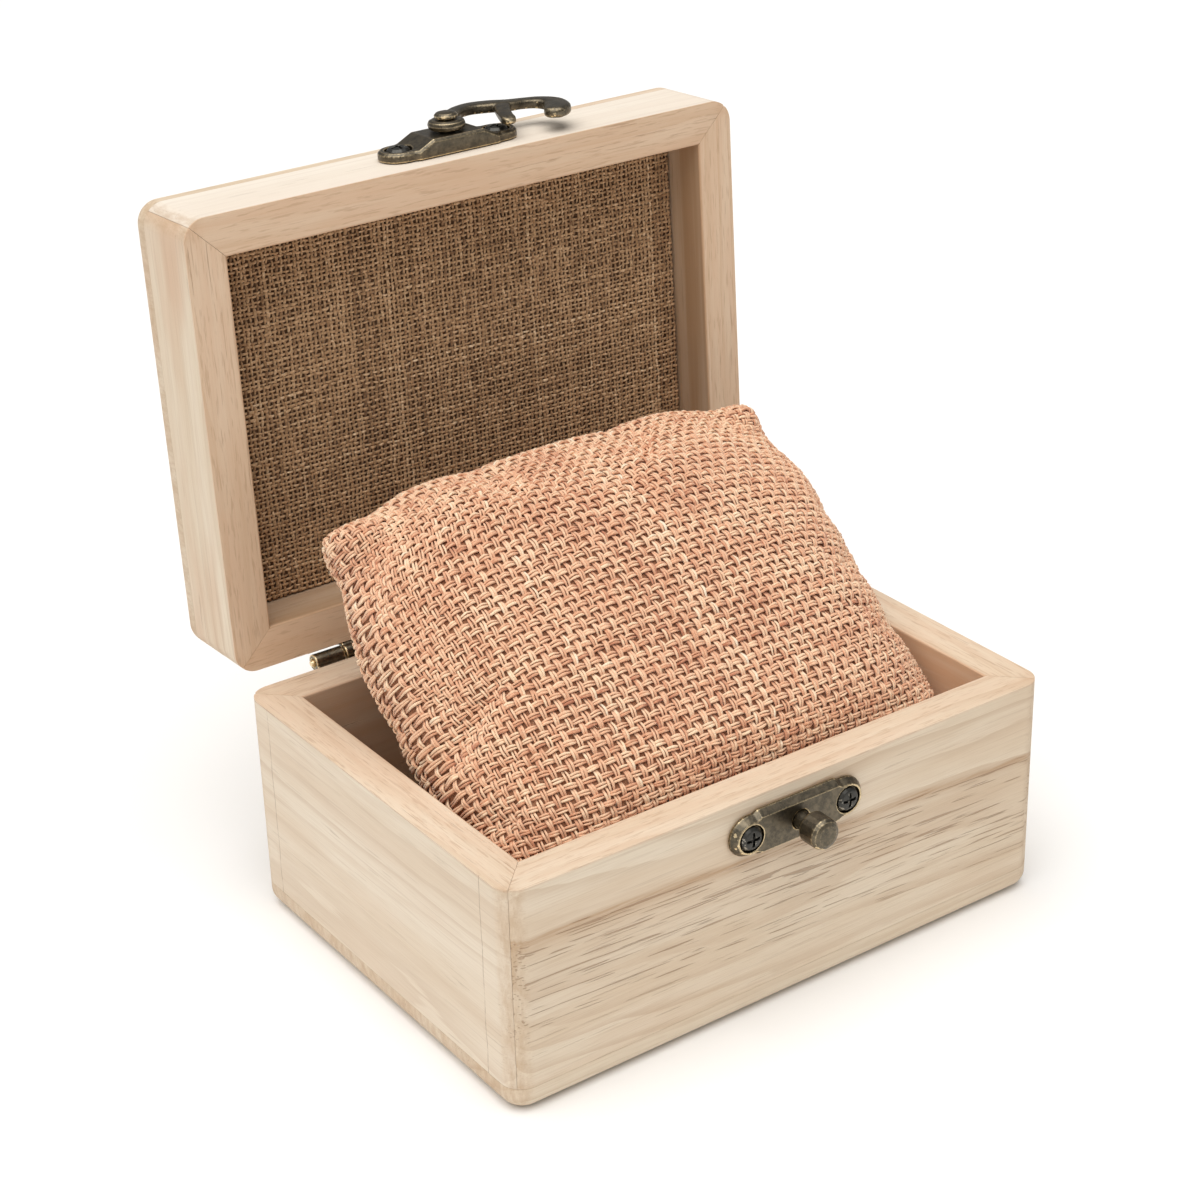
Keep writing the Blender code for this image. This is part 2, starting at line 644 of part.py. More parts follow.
def add_lining(materials, lid_axis, hinge_point):
    """Padded card in the lid, with burlap over the side that shows."""
    x = BOX_WIDTH / 2 - WALL - CLEARANCE
    y = BOX_DEPTH / 2 - WALL - CLEARANCE
    rim = BASE_HEIGHT + RIM_GAP
    cloth_low = rim + LINING_RECESS
    cloth_high = cloth_low + LINING_CLOTH
    pad_low = cloth_high + SEAM
    pad_high = rim + LID_HEIGHT - PANEL - CLEARANCE
    place = -hinge_point
    cloth = block("lid_lining_cloth", (-x, -y, cloth_low), (x, y, cloth_high))
    add_object("lid_lining_cloth", cloth, materials["lining"], lid_axis, place)
    pad = block("lid_lining_pad", (-x, -y, pad_low), (x, y, pad_high))
    add_object("lid_lining_pad", pad, materials["pad"], lid_axis, place)


# ---- assembly ----------------------------------------------------------------
def main():
    clear_scene()
    materials = make_materials()
    wood = materials["wood"]
    hinge_point = Vector((0, BOX_DEPTH / 2 + HINGE_SETBACK, BASE_HEIGHT + RIM_GAP / 2))
    lid_axis = add_axis("lid_axis", hinge_point, (-OPEN_ANGLE, 0, 0))

    add_object("base_bottom_panel", panel_board("base_bottom_panel", 0, PANEL, True), wood)
    base = add_walls("base", PANEL + SEAM, BASE_HEIGHT, BASE_HEIGHT, wood)

    rim = BASE_HEIGHT + RIM_GAP
    top = rim + LID_HEIGHT
    lid_panel = panel_board("lid_top_panel", top - PANEL, top, False)
    add_object("lid_top_panel", lid_panel, wood, lid_axis, -hinge_point)
    lid = add_walls("lid", rim, top - PANEL - SEAM, rim, wood, lid_axis, hinge_point)

    add_latch(materials, base["front"], lid["front"], lid_axis, hinge_point)
    add_hinges(materials, base["back"], lid["back"], lid_axis, hinge_point)
    add_lining(materials, lid_axis, hinge_point)
    add_cushion(materials)


main()
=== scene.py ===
"""Looks of the watch box: wood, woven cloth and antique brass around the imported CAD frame.

Metres, +Z up, in the frame of the CAD model.  Textures work in millimetres.
"""

import json
import math

import bmesh
import bpy
import numpy as np
from mathutils import Matrix, Vector


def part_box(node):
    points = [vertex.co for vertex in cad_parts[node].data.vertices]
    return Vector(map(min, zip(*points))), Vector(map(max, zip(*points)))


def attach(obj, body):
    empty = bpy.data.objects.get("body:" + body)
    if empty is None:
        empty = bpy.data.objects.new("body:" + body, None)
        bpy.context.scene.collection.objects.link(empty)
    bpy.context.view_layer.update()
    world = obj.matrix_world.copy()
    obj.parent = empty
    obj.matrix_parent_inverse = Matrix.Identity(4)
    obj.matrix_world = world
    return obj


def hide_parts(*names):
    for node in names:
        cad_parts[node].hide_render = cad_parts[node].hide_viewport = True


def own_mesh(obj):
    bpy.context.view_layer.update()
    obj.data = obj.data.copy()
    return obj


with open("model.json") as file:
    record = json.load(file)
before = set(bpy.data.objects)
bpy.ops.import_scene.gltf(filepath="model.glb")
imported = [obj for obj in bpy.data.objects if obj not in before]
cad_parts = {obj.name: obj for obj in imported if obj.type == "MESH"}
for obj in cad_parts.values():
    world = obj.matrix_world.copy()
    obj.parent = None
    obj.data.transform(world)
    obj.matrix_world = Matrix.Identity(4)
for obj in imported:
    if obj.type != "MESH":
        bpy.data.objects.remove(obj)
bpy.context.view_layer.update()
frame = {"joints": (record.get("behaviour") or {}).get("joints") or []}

MM = 0.001
SCENE = bpy.context.scene

# ---- sizes, read from the frame or repeated from the CAD model ------------------
LOW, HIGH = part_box("base_front_wall")
PANEL_LOW, PANEL_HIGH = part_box("base_bottom_panel")
BOX_WIDTH = PANEL_HIGH.x - PANEL_LOW.x
BOX_DEPTH = PANEL_HIGH.y - PANEL_LOW.y
PANEL = PANEL_HIGH.z - PANEL_LOW.z
BASE_HEIGHT = HIGH.z
WALL = HIGH.y - LOW.y
SEAM = 0.05 * MM
CORNER_RADIUS = 4.0 * MM
EDGE_RADIUS = 3.0 * MM
RIM_EASE = 0.35 * MM


def frame_joint(name):
    return next(j for j in frame["joints"] if j["name"] == name)


HINGE = Vector(frame_joint("lid_hinge")["pos_m"])
OPEN_ANGLE = math.radians(max(frame_joint("lid_hinge")["range_deg"]))
RIM_GAP = 2 * (HINGE.z - BASE_HEIGHT)
LID_RIM = BASE_HEIGHT + RIM_GAP
LID_HEIGHT = 19 * MM
LID_OPEN = (
    Matrix.Translation(HINGE) @ Matrix.Rotation(-OPEN_ANGLE, 4, "X") @ Matrix.Translation(-HINGE)
)


# ---- node helpers ----------------------------------------------------------------
class Nodes:
    """Short hand for building a material's node tree."""

    def __init__(self, name):
        self.mat = bpy.data.materials.new(name)
        self.mat.use_nodes = True
        self.tree = self.mat.node_tree
        self.shader = self.tree.nodes["Principled BSDF"]

    def add(self, kind, **settings):
        node = self.tree.nodes.new("ShaderNode" + kind)
        for key, value in settings.items():
            setattr(node, key, value)
        return node

    def put(self, socket, value):
        if isinstance(value, bpy.types.NodeSocket):
            self.tree.links.new(value, socket)
        elif value is not None:
            socket.default_value = value

    def math(self, operation, a, b=None):
        node = self.add("Math", operation=operation)
        for socket, value in zip(node.inputs, (a, b)):
            self.put(socket, value)
        return node.outputs[0]

    def times(self, *values):
        product = values[0]
        for value in values[1:]:
            product = self.math("MULTIPLY", product, value)
        return product

    def plus(self, a, b):
        return self.math("ADD", a, b)

    def minus(self, a, b):
        return self.math("SUBTRACT", a, b)

    def absolute(self, value):
        return self.math("ABSOLUTE", value)

    def around_zero(self, value, reach):
        """A value from 0 to 1 taken to half the reach either side of 0."""
        return self.times(self.minus(value, 0.5), reach)

    def vector(self, operation, a, b=None):
        node = self.add("VectorMath", operation=operation)
        self.put(node.inputs[0], a)
        self.put(node.inputs[1], b)
        return node.outputs["Vector"]

    def combine(self, x, y, z):
        node = self.add("CombineXYZ")
        for socket, value in zip(node.inputs, (x, y, z)):
            self.put(socket, value)
        return node.outputs[0]

    def split(self, vector):
        node = self.add("SeparateXYZ")
        self.put(node.inputs[0], vector)
        return node.outputs

    def object_mm(self, offset=(0.0, 0.0, 0.0)):
        """Object coordinates in millimetres, moved by an offset."""
        coordinates = self.add("TexCoord").outputs["Object"]
        scaled = self.vector("MULTIPLY", coordinates, (1000.0, 1000.0, 1000.0))
        return self.vector("ADD", scaled, offset)

    def noise(self, vector, scale=1.0, detail=3.0, roughness=0.5):
        node = self.add("TexNoise")
        self.put(node.inputs["Vector"], vector)
        node.inputs["Scale"].default_value = scale
        node.inputs["Detail"].default_value = detail
        node.inputs["Roughness"].default_value = roughness
        return node.outputs["Fac"]

    def stretched(self, vector, x, y, z):
        return self.vector("MULTIPLY", vector, (x, y, z))

    def ramp(self, value, stops):
        node = self.add("ValToRGB")
        elements = node.color_ramp.elements
        while len(elements) < len(stops):
            elements.new(0.5)
        for element, (position, colour) in zip(elements, stops):
            element.position = position
            element.color = (*colour, 1.0)
        self.put(node.inputs["Fac"], value)
        return node.outputs["Color"]

    def step(self, value, low, high, out_low=0.0, out_high=1.0):
        """Smooth step of a value from low to high."""
        node = self.add("MapRange", interpolation_type="SMOOTHSTEP")
        names = ("From Min", "From Max", "To Min", "To Max")
        for name, number in zip(names, (low, high, out_low, out_high)):
            node.inputs[name].default_value = number
        self.put(node.inputs["Value"], value)
        return node.outputs["Result"]

    def mix(self, share, a, b):
        node = self.add("Mix", data_type="RGBA")
        self.put(node.inputs[0], share)
        for socket, value in ((node.inputs[6], a), (node.inputs[7], b)):
            if isinstance(value, tuple):
                value = (*value, 1.0)
            self.put(socket, value)
        return node.outputs[2]

    def attribute(self, name):
        return self.add("Attribute", attribute_name=name).outputs["Fac"]

    def bump(self, height, distance, strength=1.0):
        node = self.add("Bump")
        node.inputs["Distance"].default_value = distance
        node.inputs["Strength"].default_value = strength
        self.put(node.inputs["Height"], height)
        self.put(self.shader.inputs["Normal"], node.outputs["Normal"])

    def finish(self, colour, roughness, metallic=None):
        self.put(self.shader.inputs["Base Color"], colour)
        self.put(self.shader.inputs["Roughness"], roughness)
        self.put(self.shader.inputs["Metallic"], metallic)
        return self.mat


# ---- mesh helpers ------------------------------------------------------------------
SHARP_ANGLE = math.radians(40)


def mesh_points(mesh):
    points = np.empty(len(mesh.vertices) * 3)
    mesh.vertices.foreach_get("co", points)
    return points.reshape(-1, 3)


def link(name, mesh, mat, matrix=None):
    """New object in the scene for a finished mesh."""
    mesh.materials.append(mat)
    obj = bpy.data.objects.new(name, mesh)
    SCENE.collection.objects.link(obj)
    if matrix is not None:
        obj.matrix_world = matrix
    return obj


def fast_piece(name, verts, quads, mat, attributes=None):
    """New smooth object from large numpy arrays, with point attributes."""
    mesh = bpy.data.meshes.new(name)
    mesh.vertices.add(len(verts))
    mesh.vertices.foreach_set("co", np.asarray(verts, np.float32).ravel())
    mesh.loops.add(quads.size)
    mesh.loops.foreach_set("vertex_index", np.asarray(quads, np.int32).ravel())
    mesh.polygons.add(len(quads))
    mesh.polygons.foreach_set("loop_start", np.arange(0, quads.size, 4, dtype=np.int32))
    mesh.update(calc_edges=True)
    mesh.shade_smooth()
    for key, values in (attributes or {}).items():
        attribute = mesh.attributes.new(key, "FLOAT", "POINT")
        attribute.data.foreach_set("value", np.asarray(values, np.float32))
    return link(name, mesh, mat)


def bmesh_piece(name, bm, mat, matrix):
    """New object from a bmesh, smooth but for its sharp edges."""
    bmesh.ops.recalc_face_normals(bm, faces=bm.faces)
    mesh = bpy.data.meshes.new(name)
    bm.to_mesh(mesh)
    bm.free()
    mesh.shade_smooth()
    mesh.set_sharp_from_angle(angle=SHARP_ANGLE)
    return link(name, mesh, mat, matrix)


def stand_for(obj, body, node):
    """The object shows instead of a CAD node and moves with its body."""
    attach(obj, body)
    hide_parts(node)


def arc(centre, radius, start, end, steps):
    """Points along an arc, its ends given in degrees."""
    points = []
    for i in range(steps + 1):
        angle = math.radians(start + (end - start) * i / steps)
        points.append((centre[0] + radius * math.cos(angle), centre[1] + radius * math.sin(angle)))
    return points


def stack_rings(bm, rings):
    """Skin a list of closed rings of equal length, capped at both ends."""
    loops = [[bm.verts.new(point) for point in ring] for ring in rings]
    count = len(loops[0])
    for low, high in zip(loops, loops[1:]):
        for i in range(count):
            j = (i + 1) % count
            bm.faces.new((low[i], low[j], high[j], high[i]))
    bm.faces.new(loops[0])
    bm.faces.new(loops[-1])
    return loops


# ---- camera, light and floor ---------------------------------------------------------
CAMERA_ANGLES = (-34.85, 26.6, -1.57)  # azimuth, elevation and roll in degrees
CAMERA_TARGET = Vector((13.1, 31.2, 41.0)) * MM
CAMERA_DISTANCE = 472.0 * MM
LENS = 78.0
SENSOR_WIDTH = 36.0

WORLD_COLOUR = (1.0, 0.99, 0.975)
WORLD_STRENGTH = 0.33
LIT_POINT = (0.0, 0.01, 0.05)
SOFTBOXES = (  # name, place, size, power and colour
    ("top_softbox", (0.05, -0.05, 0.75), (0.7, 0.7), 0.9, (1.0, 0.985, 0.965)),
    ("right_softbox", (0.65, -0.45, 0.35), (0.45, 0.6), 0.12, (1.0, 0.985, 0.96)),
    ("left_softbox", (-0.6, -0.55, 0.25), (0.4, 0.5), 0.35, (1.0, 0.985, 0.96)),
)
CEILING_STRENGTH = 2.5
CEILING_SPREAD = math.radians(70)
CEILING_TILT = (math.radians(5), math.radians(-16), 0)
FLOOR_HALF = 3.0
FLOOR_DROP = 0.2 * MM  # keeps the paper clear of the box's underside


def aim_camera():
    """Camera at the angle of the picture: azimuth, elevation and roll round a target."""
    azimuth, elevation, roll = (math.radians(a) for a in CAMERA_ANGLES)
    level = math.cos(elevation)
    back = Vector((math.sin(azimuth) * level, -math.cos(azimuth) * level, math.sin(elevation)))
    right = (-back).cross(Vector((0, 0, 1))).normalized()
    up = right.cross(-back)
    turned_right = right * math.cos(roll) + up * math.sin(roll)
    turned_up = up * math.cos(roll) - right * math.sin(roll)
    data = bpy.data.cameras.new("camera")
    data.lens = LENS
    data.sensor_width = SENSOR_WIDTH
    data.clip_start = 0.01
    data.clip_end = 10.0
    camera = bpy.data.objects.new("camera", data)
    SCENE.collection.objects.link(camera)
    turned = Matrix((turned_right, turned_up, back)).transposed().to_4x4()
    turned.translation = CAMERA_TARGET + back * CAMERA_DISTANCE
    camera.matrix_world = turned
    SCENE.camera = camera


def area_light(name, place, size, power, colour):
    data = bpy.data.lights.new(name, "AREA")
    data.shape = "RECTANGLE"
    data.size, data.size_y = size
    data.energy = power
    data.color = colour
    light = bpy.data.objects.new(name, data)
    SCENE.collection.objects.link(light)
    light.location = place
    light.rotation_euler = (Vector(place) - Vector(LIT_POINT)).to_track_quat("Z", "Y").to_euler()


def set_stage():
    """Soft white studio: even world, three softboxes, a wide ceiling and a paper floor."""
    SCENE.view_settings.view_transform = "Standard"
    world = bpy.data.worlds.new("studio")
    world.use_nodes = True
    background = world.node_tree.nodes["Background"]
    background.inputs["Color"].default_value = (*WORLD_COLOUR, 1.0)
    background.inputs["Strength"].default_value = WORLD_STRENGTH
    SCENE.world = world
    for softbox in SOFTBOXES:
        area_light(*softbox)

    sky = bpy.data.lights.new("ceiling", "SUN")
    sky.energy = CEILING_STRENGTH
    sky.angle = CEILING_SPREAD
    sky.color = WORLD_COLOUR
    ceiling = bpy.data.objects.new("ceiling", sky)
    ceiling.rotation_euler = CEILING_TILT
    SCENE.collection.objects.link(ceiling)

    n = Nodes("paper_floor")
    tone = n.noise(n.object_mm(), 0.02, 2.0)
    mat = n.finish(n.mix(tone, (0.93, 0.925, 0.915), (0.95, 0.945, 0.935)), 0.9)
    mesh = bpy.data.meshes.new("floor")
    corners = [(x * FLOOR_HALF, y * FLOOR_HALF, 0) for x, y in ((-1, -1), (1, -1), (1, 1), (-1, 1))]
    mesh.from_pydata(corners, [], [(0, 1, 2, 3)])
    floor = link("floor", mesh, mat)
    floor.location.z = -FLOOR_DROP


# ---- wood ------------------------------------------------------------------------------
CREAM = (0.715, 0.575, 0.42)
PALE = (0.80, 0.69, 0.545)
TAN = (0.54, 0.375, 0.24)
ROSY = (0.66, 0.445, 0.30)
BROWN = (0.29, 0.16, 0.085)
HONEY = (0.70, 0.41, 0.22)
# Painted light: the pale colour mixed over boards that the light falls on most.
PAINTED_LIGHT_PALE = (0.93, 0.885, 0.82)
HAIR_BROWN = (0.47, 0.33, 0.22)
STREAK_BROWN = (0.45, 0.27, 0.145)
END_BROWN = (0.50, 0.335, 0.20)
JOINT_BROWN = (0.30, 0.19, 0.11)
SAWN_BROWN = (0.42, 0.25, 0.14)
# Painted shade: the colours of the walls' inner faces, which lie in shade inside the box.
SHADED_INNER_BASE = (0.60, 0.36, 0.21)
SHADED_INNER_LID = (0.36, 0.205, 0.10)

RINGS_PER_MM = 0.36
STREAK_SLOPE = -0.045
STREAK_DEPTH = 23.0  # mm below the streak's line over which its crowded pores thin out
STREAK_LINES = 1.9  # mm between the rows of those pores
JOINT_INSET = 7.0  # mm from a side board's end to the joint line


def growth_rings(n, rng, y, drift, moved):
    """Place within a growth ring, from 0 to 1, and the slow noise that bends the rings.

    The rings lie round a pith line beside the board."""
    across = n.plus(y, float(rng.uniform(18, 34)))
    up = n.plus(drift, float(rng.uniform(-30, 10)))
    radius = n.math("SQRT", n.plus(n.times(across, across), n.times(up, up)))
    slow = n.noise(n.stretched(moved, 0.012, 0.05, 0.05), 1.0, 2.0)
    radius = n.plus(radius, n.times(slow, 9.0))
    radius = n.plus(radius, n.times(n.noise(n.stretched(moved, 0.02, 0.4, 0.4)), 1.6))
    return n.math("FRACT", n.times(radius, RINGS_PER_MM)), slow


def bare_wood(n, moved, ring, rosy):
    """Colour of the wood before its pores, and the noise of its fibres."""
    tone = n.noise(n.stretched(moved, 0.015, 0.13, 0.13), 1.0, 4.0, 0.55)
    colour = n.mix(n.step(tone, 0.3, 0.7), PALE, CREAM)
    blush = n.noise(n.stretched(moved, 0.02, 0.09, 0.09), 1.0, 3.0)
    colour = n.mix(n.times(n.step(blush, 0.42, 0.72), rosy * 2), colour, ROSY)
    fibres = n.noise(n.stretched(moved, 0.10, 5.5, 5.5), 1.0, 3.0, 0.62)
    colour = n.mix(n.times(n.step(fibres, 0.42, 0.78), 0.34), colour, TAN)
    hairs = n.noise(n.stretched(moved, 0.035, 2.2, 2.2), 1.0, 2.0, 0.5)
    colour = n.mix(n.times(n.step(hairs, 0.60, 0.70), 0.26), colour, HAIR_BROWN)
    late = n.times(n.step(ring, 0.5, 0.96), n.step(ring, 1.0, 0.965))
    strength = n.step(n.noise(n.stretched(moved, 0.01, 0.08, 0.08)), 0.3, 0.7, 0.08, 0.5)
    return n.mix(n.times(late, strength), colour, TAN), fibres


def open_pores(n, moved, ring):
    """Thin dashes along the grain, gathered along the rings."""
    dash = n.noise(n.stretched(moved, 0.085, 3.1, 3.1), 1.0, 1.0, 0.4)
    rows = n.step(n.math("PINGPONG", n.plus(ring, 0.2), 0.5), 0.10, 0.42, 0.15, 1.0)
    band = n.step(n.noise(n.stretched(moved, 0.008, 0.10, 0.10), 1.0, 2.0), 0.42, 0.62)
    return n.times(n.step(dash, 0.67, 0.71), n.times(band, rows))


def brown_streak(n, colour, pore, streak, x, y, drift, moved, offset, slow):
    """Gritty brown line along the board, with rows of crowded pores below it."""
    bend = n.around_zero(n.noise(n.stretched(moved, 0.035, 0.0, 0.0)), 3.0)
    below = n.plus(n.minus(streak, drift), bend)
    lines = n.math("FRACT", n.math("DIVIDE", n.plus(below, n.times(slow, 5.0)), STREAK_LINES))
    lines = n.step(n.math("PINGPONG", lines, 0.5), 0.05, 0.40, 0.12, 1.0)
    crowd = n.times(n.step(below, -0.4, 0.8), n.step(below, STREAK_DEPTH, 3.0))
    tilted = n.vector("ADD", n.combine(x, y, drift), offset)
    fine = n.noise(n.stretched(tilted, 0.085, 2.9, 2.9), 1.0, 1.0, 0.4)
    dense = n.step(n.plus(fine, n.times(crowd, lines, 0.10)), 0.66, 0.72)
    dense = n.times(dense, n.step(crowd, 0.0, 0.25))
    pore = n.math("MAXIMUM", n.times(pore, 0.5), dense)
    line = n.times(n.step(below, -1.0, 0.0), n.step(below, 2.4, 0.2))
    grit = n.noise(n.stretched(moved, 0.10, 2.4, 2.4), 1.0, 3.0, 0.6)
    grit = n.step(grit, 0.3, 0.7, 0.3, 1.0)
    colour = n.mix(n.times(line, grit, 0.78), colour, STREAK_BROWN)
    return n.mix(n.times(crowd, 0.16), colour, TAN), pore


def end_grain(n, colour, x, moved, length):
    """Mottled end grain, where the grain runs out round a corner."""
    end = n.step(n.absolute(x), length / 2 - 4.2, length / 2 - 1.6)
    mottle = n.noise(n.stretched(moved, 0.9, 0.9, 0.30), 1.0, 4.0, 0.65)
    mottle = n.step(mottle, 0.32, 0.68, 0.2, 1.0)
    return n.mix(n.times(end, mottle, 0.55), colour, END_BROWN)


def joint_line(n, colour, x, y, moved, length):
    """Thin broken line across the outer face near both ends of a board."""
    waver = n.times(n.noise(n.stretched(moved, 0.0, 0.0, 0.15)), 0.8)
    away = n.absolute(n.minus(n.plus(n.absolute(x), waver), length / 2 - JOINT_INSET))
    gap = n.times(n.step(away, 0.14, 0.04), n.step(n.noise(moved, 0.5), 0.3, 0.6, 0.25, 1.0))
    return n.mix(n.times(gap, n.step(y, 0.25, 0.05), 0.6), colour, JOINT_BROWN)


def inner_face_shade(n, colour, y, moved, inner_shade):
    """Painted shade over the face that looks into the box, broken into darker strips."""
    face = n.step(y, WALL / MM - 0.5, WALL / MM - 0.05)
    strips = n.noise(n.stretched(moved, 0.012, 0.0, 0.30), 1.0, 2.0, 0.6)
    return n.mix(n.times(face, n.step(strips, 0.3, 0.7, 0.55, 0.85)), colour, inner_shade)


def sawn_rim(n, colour, edge, moved, honey):
    """Warmer, rougher wood on the sawn edge."""
    warm = n.step(n.noise(n.stretched(moved, 0.05, 0.5, 0.5), 1.0, 3.0), 0.35, 0.65, 0.45, 1.0)
    colour = n.mix(n.times(edge, warm, 0.42), colour, ROSY)
    colour = n.mix(n.times(edge, honey), colour, HONEY)
    marks = n.step(n.noise(n.stretched(moved, 0.25, 3.0, 3.0), 1.0, 2.0), 0.55, 0.68)
    return n.mix(n.times(edge, marks, 0.35), colour, SAWN_BROWN)


def wood(name, seed, length, streak=None, rim=None, rosy=0.15, painted_light=0.0, joint=False, inner_shade=None,
         honey=0.0):
    """Pale straight-grained wood: X runs along the grain, Y through the board.

    length is the board's; streak is the height of a brown streak at the middle of the board
    and rim the height of its sawn edge, all in millimetres in the board's own frame.  rosy
    is the share of rosy blushes, honey how much warmer the sawn edge is, and painted_light the
    share of painted light over everything but that edge, for boards the light falls on most.
    joint draws the thin line of the neighbouring board near both ends, and inner_shade is the
    colour of the painted shade on the inner face."""
    n = Nodes(name)
    rng = np.random.default_rng(seed)
    offset = tuple(float(v) for v in rng.uniform(-400, 400, 3))
    moved = n.object_mm(offset)
    x, y, z = n.split(n.object_mm())
    slope = float(rng.uniform(-0.03, 0.03)) if streak is None else STREAK_SLOPE
    drift = n.minus(z, n.times(x, slope))
    ring, slow = growth_rings(n, rng, y, drift, moved)
    colour, fibres = bare_wood(n, moved, ring, rosy)
    pore = open_pores(n, moved, ring)
    if streak is not None:
        colour, pore = brown_streak(n, colour, pore, streak, x, y, drift, moved, offset, slow)
    colour = n.mix(n.times(pore, 0.55), colour, BROWN)
    if rim is not None:
        edge = n.step(n.absolute(n.minus(z, rim)), 0.5, 0.15)
        # Painted light: a paler colour over all of the board but its sawn edge, where the light falls
        # on it most.
        colour = n.mix(n.times(n.minus(1.0, edge), painted_light), colour, PAINTED_LIGHT_PALE)
    colour = end_grain(n, colour, x, moved, length)
    if joint:
        colour = joint_line(n, colour, x, y, moved, length)
    # Painted shade over the inner face of the wall.
    if inner_shade is not None:
        colour = inner_face_shade(n, colour, y, moved, inner_shade)
    if rim is not None:
        colour = sawn_rim(n, colour, edge, moved, honey)
    n.bump(n.minus(n.times(fibres, 0.5), n.times(pore, 1.6)), 0.00009, 0.8)
    n.shader.inputs["Specular IOR Level"].default_value = 0.35
    return n.finish(colour, n.step(fibres, 0.2, 0.8, 0.52, 0.68))


def mitred_board(name, length, low, high, rim_z, mat, matrix):
    """Wall board along X, outer face on y=0, with rounded mitred ends and an eased rim."""
    half = length / 2
    r = CORNER_RADIUS
    trim = math.degrees(math.asin(SEAM / 2 / r))
    inner_end = half - WALL - SEAM / math.sqrt(2)
    outline = [(-inner_end, WALL)]
    outline += arc((-half + r, r), r, 225 + trim, 270, 12)
    outline += arc((half - r, r), r, 270, 315 - trim, 12)
    outline.append((inner_end, WALL))
    bm = bmesh.new()
    loops = stack_rings(bm, [[(x, y, z) for x, y in outline] for z in (low, high)])
    rim = loops[0] if abs(rim_z - low) < abs(rim_z - high) else loops[1]
    pairs = list(zip(rim[1:-1], rim[2:-1])) + [(rim[-1], rim[0])]
    edges = [bm.edges.get(pair) for pair in pairs]
    bmesh.ops.bevel(bm, geom=edges, offset=RIM_EASE, segments=3, profile=0.5, affect="EDGES")
    return bmesh_piece(name, bm, mat, matrix)


def panel_board(name, low, high, round_low, mat, matrix):
    """Panel over the whole width and depth; its outer long edges are rounded."""
    x = BOX_WIDTH / 2 - CORNER_RADIUS
    y = BOX_DEPTH / 2 - CORNER_RADIUS
    outer, inner, inward = (low, high, 1) if round_low else (high, low, -1)

    def ring(inset, z):
        points = []
        for centre, start in (((x, -y), 270), ((x, y), 0), ((-x, y), 90), ((-x, -y), 180)):
            points += arc(centre, CORNER_RADIUS - inset, start, start + 90, 16)
        return [(px, py, z) for px, py in points]

    rings = [ring(0, inner)]
    for across, down in arc((0, 0), EDGE_RADIUS, 0, 90, 12):
        rings.append(ring(EDGE_RADIUS - across, outer + inward * (EDGE_RADIUS - down)))
    bm = bmesh.new()
    stack_rings(bm, rings)
    return bmesh_piece(name, bm, mat, matrix)


# The pale shares given for the base's left board and the lid's front board are painted light.
BASE_LOOK = dict(seed=11, panel_seed=20, streaks={"front": 29.5}, rosy={"all": 0.08},
                 painted_light={"left": 0.12}, joints=("left", "right"), inner_shade=SHADED_INNER_BASE, honey=0.0)
LID_LOOK = dict(seed=37, panel_seed=46, streaks={}, rosy={"all": 0.22, "left": 0.42},
                painted_light={"front": 0.46}, joints=(), inner_shade=SHADED_INNER_LID, honey=0.28)


def add_box(body, walls, rim_z, panel, panel_node, opened, look):
    """Four mitred walls and a panel, standing for the CAD nodes of the same shape.

    walls and panel are the lowest and highest z of each, with the lid shut."""
    sides = (
        ("front", BOX_WIDTH, (0, -BOX_DEPTH / 2), 0),
        ("right", BOX_DEPTH, (BOX_WIDTH / 2, 0), 90),
        ("back", BOX_WIDTH, (0, BOX_DEPTH / 2), 180),
        ("left", BOX_DEPTH, (-BOX_WIDTH / 2, 0), 270),
    )
    for index, (side, length, (x, y), turn) in enumerate(sides):
        mat = wood(
            f"{body}_{side}_wood",
            look["seed"] + index,
            length / MM,
            look["streaks"].get(side),
            rim_z / MM,
            look["rosy"].get(side, look["rosy"]["all"]),
            look["painted_light"].get(side, 0.0),
            side in look["joints"],
            look["inner_shade"],
            look["honey"],
        )
        place = opened @ Matrix.Translation((x, y, 0)) @ Matrix.Rotation(math.radians(turn), 4, "Z")
        board = mitred_board(f"{body}_{side}_board", length, *walls, rim_z, mat, place)
        stand_for(board, body, f"{body}_{side}_wall")
    mat = wood(f"{body}_panel_wood", look["panel_seed"], BOX_WIDTH / MM, rosy=look["rosy"]["all"])
    board = panel_board(f"{body}_panel_board", *panel, body == "base", mat, opened)
    stand_for(board, body, panel_node)


def add_wood():
    walls = (PANEL + SEAM, BASE_HEIGHT)
    add_box("base", walls, BASE_HEIGHT, (0, PANEL), "base_bottom_panel", Matrix.Identity(4), BASE_LOOK)
    top = LID_RIM + LID_HEIGHT
    walls = (LID_RIM, top - PANEL - SEAM)
    add_box("lid", walls, LID_RIM, (top - PANEL, top), "lid_top_panel", LID_OPEN, LID_LOOK)


# ---- woven cloth ---------------------------------------------------------------------
NORMAL_STEP = 0.004  # share of a patch over which its slope is taken


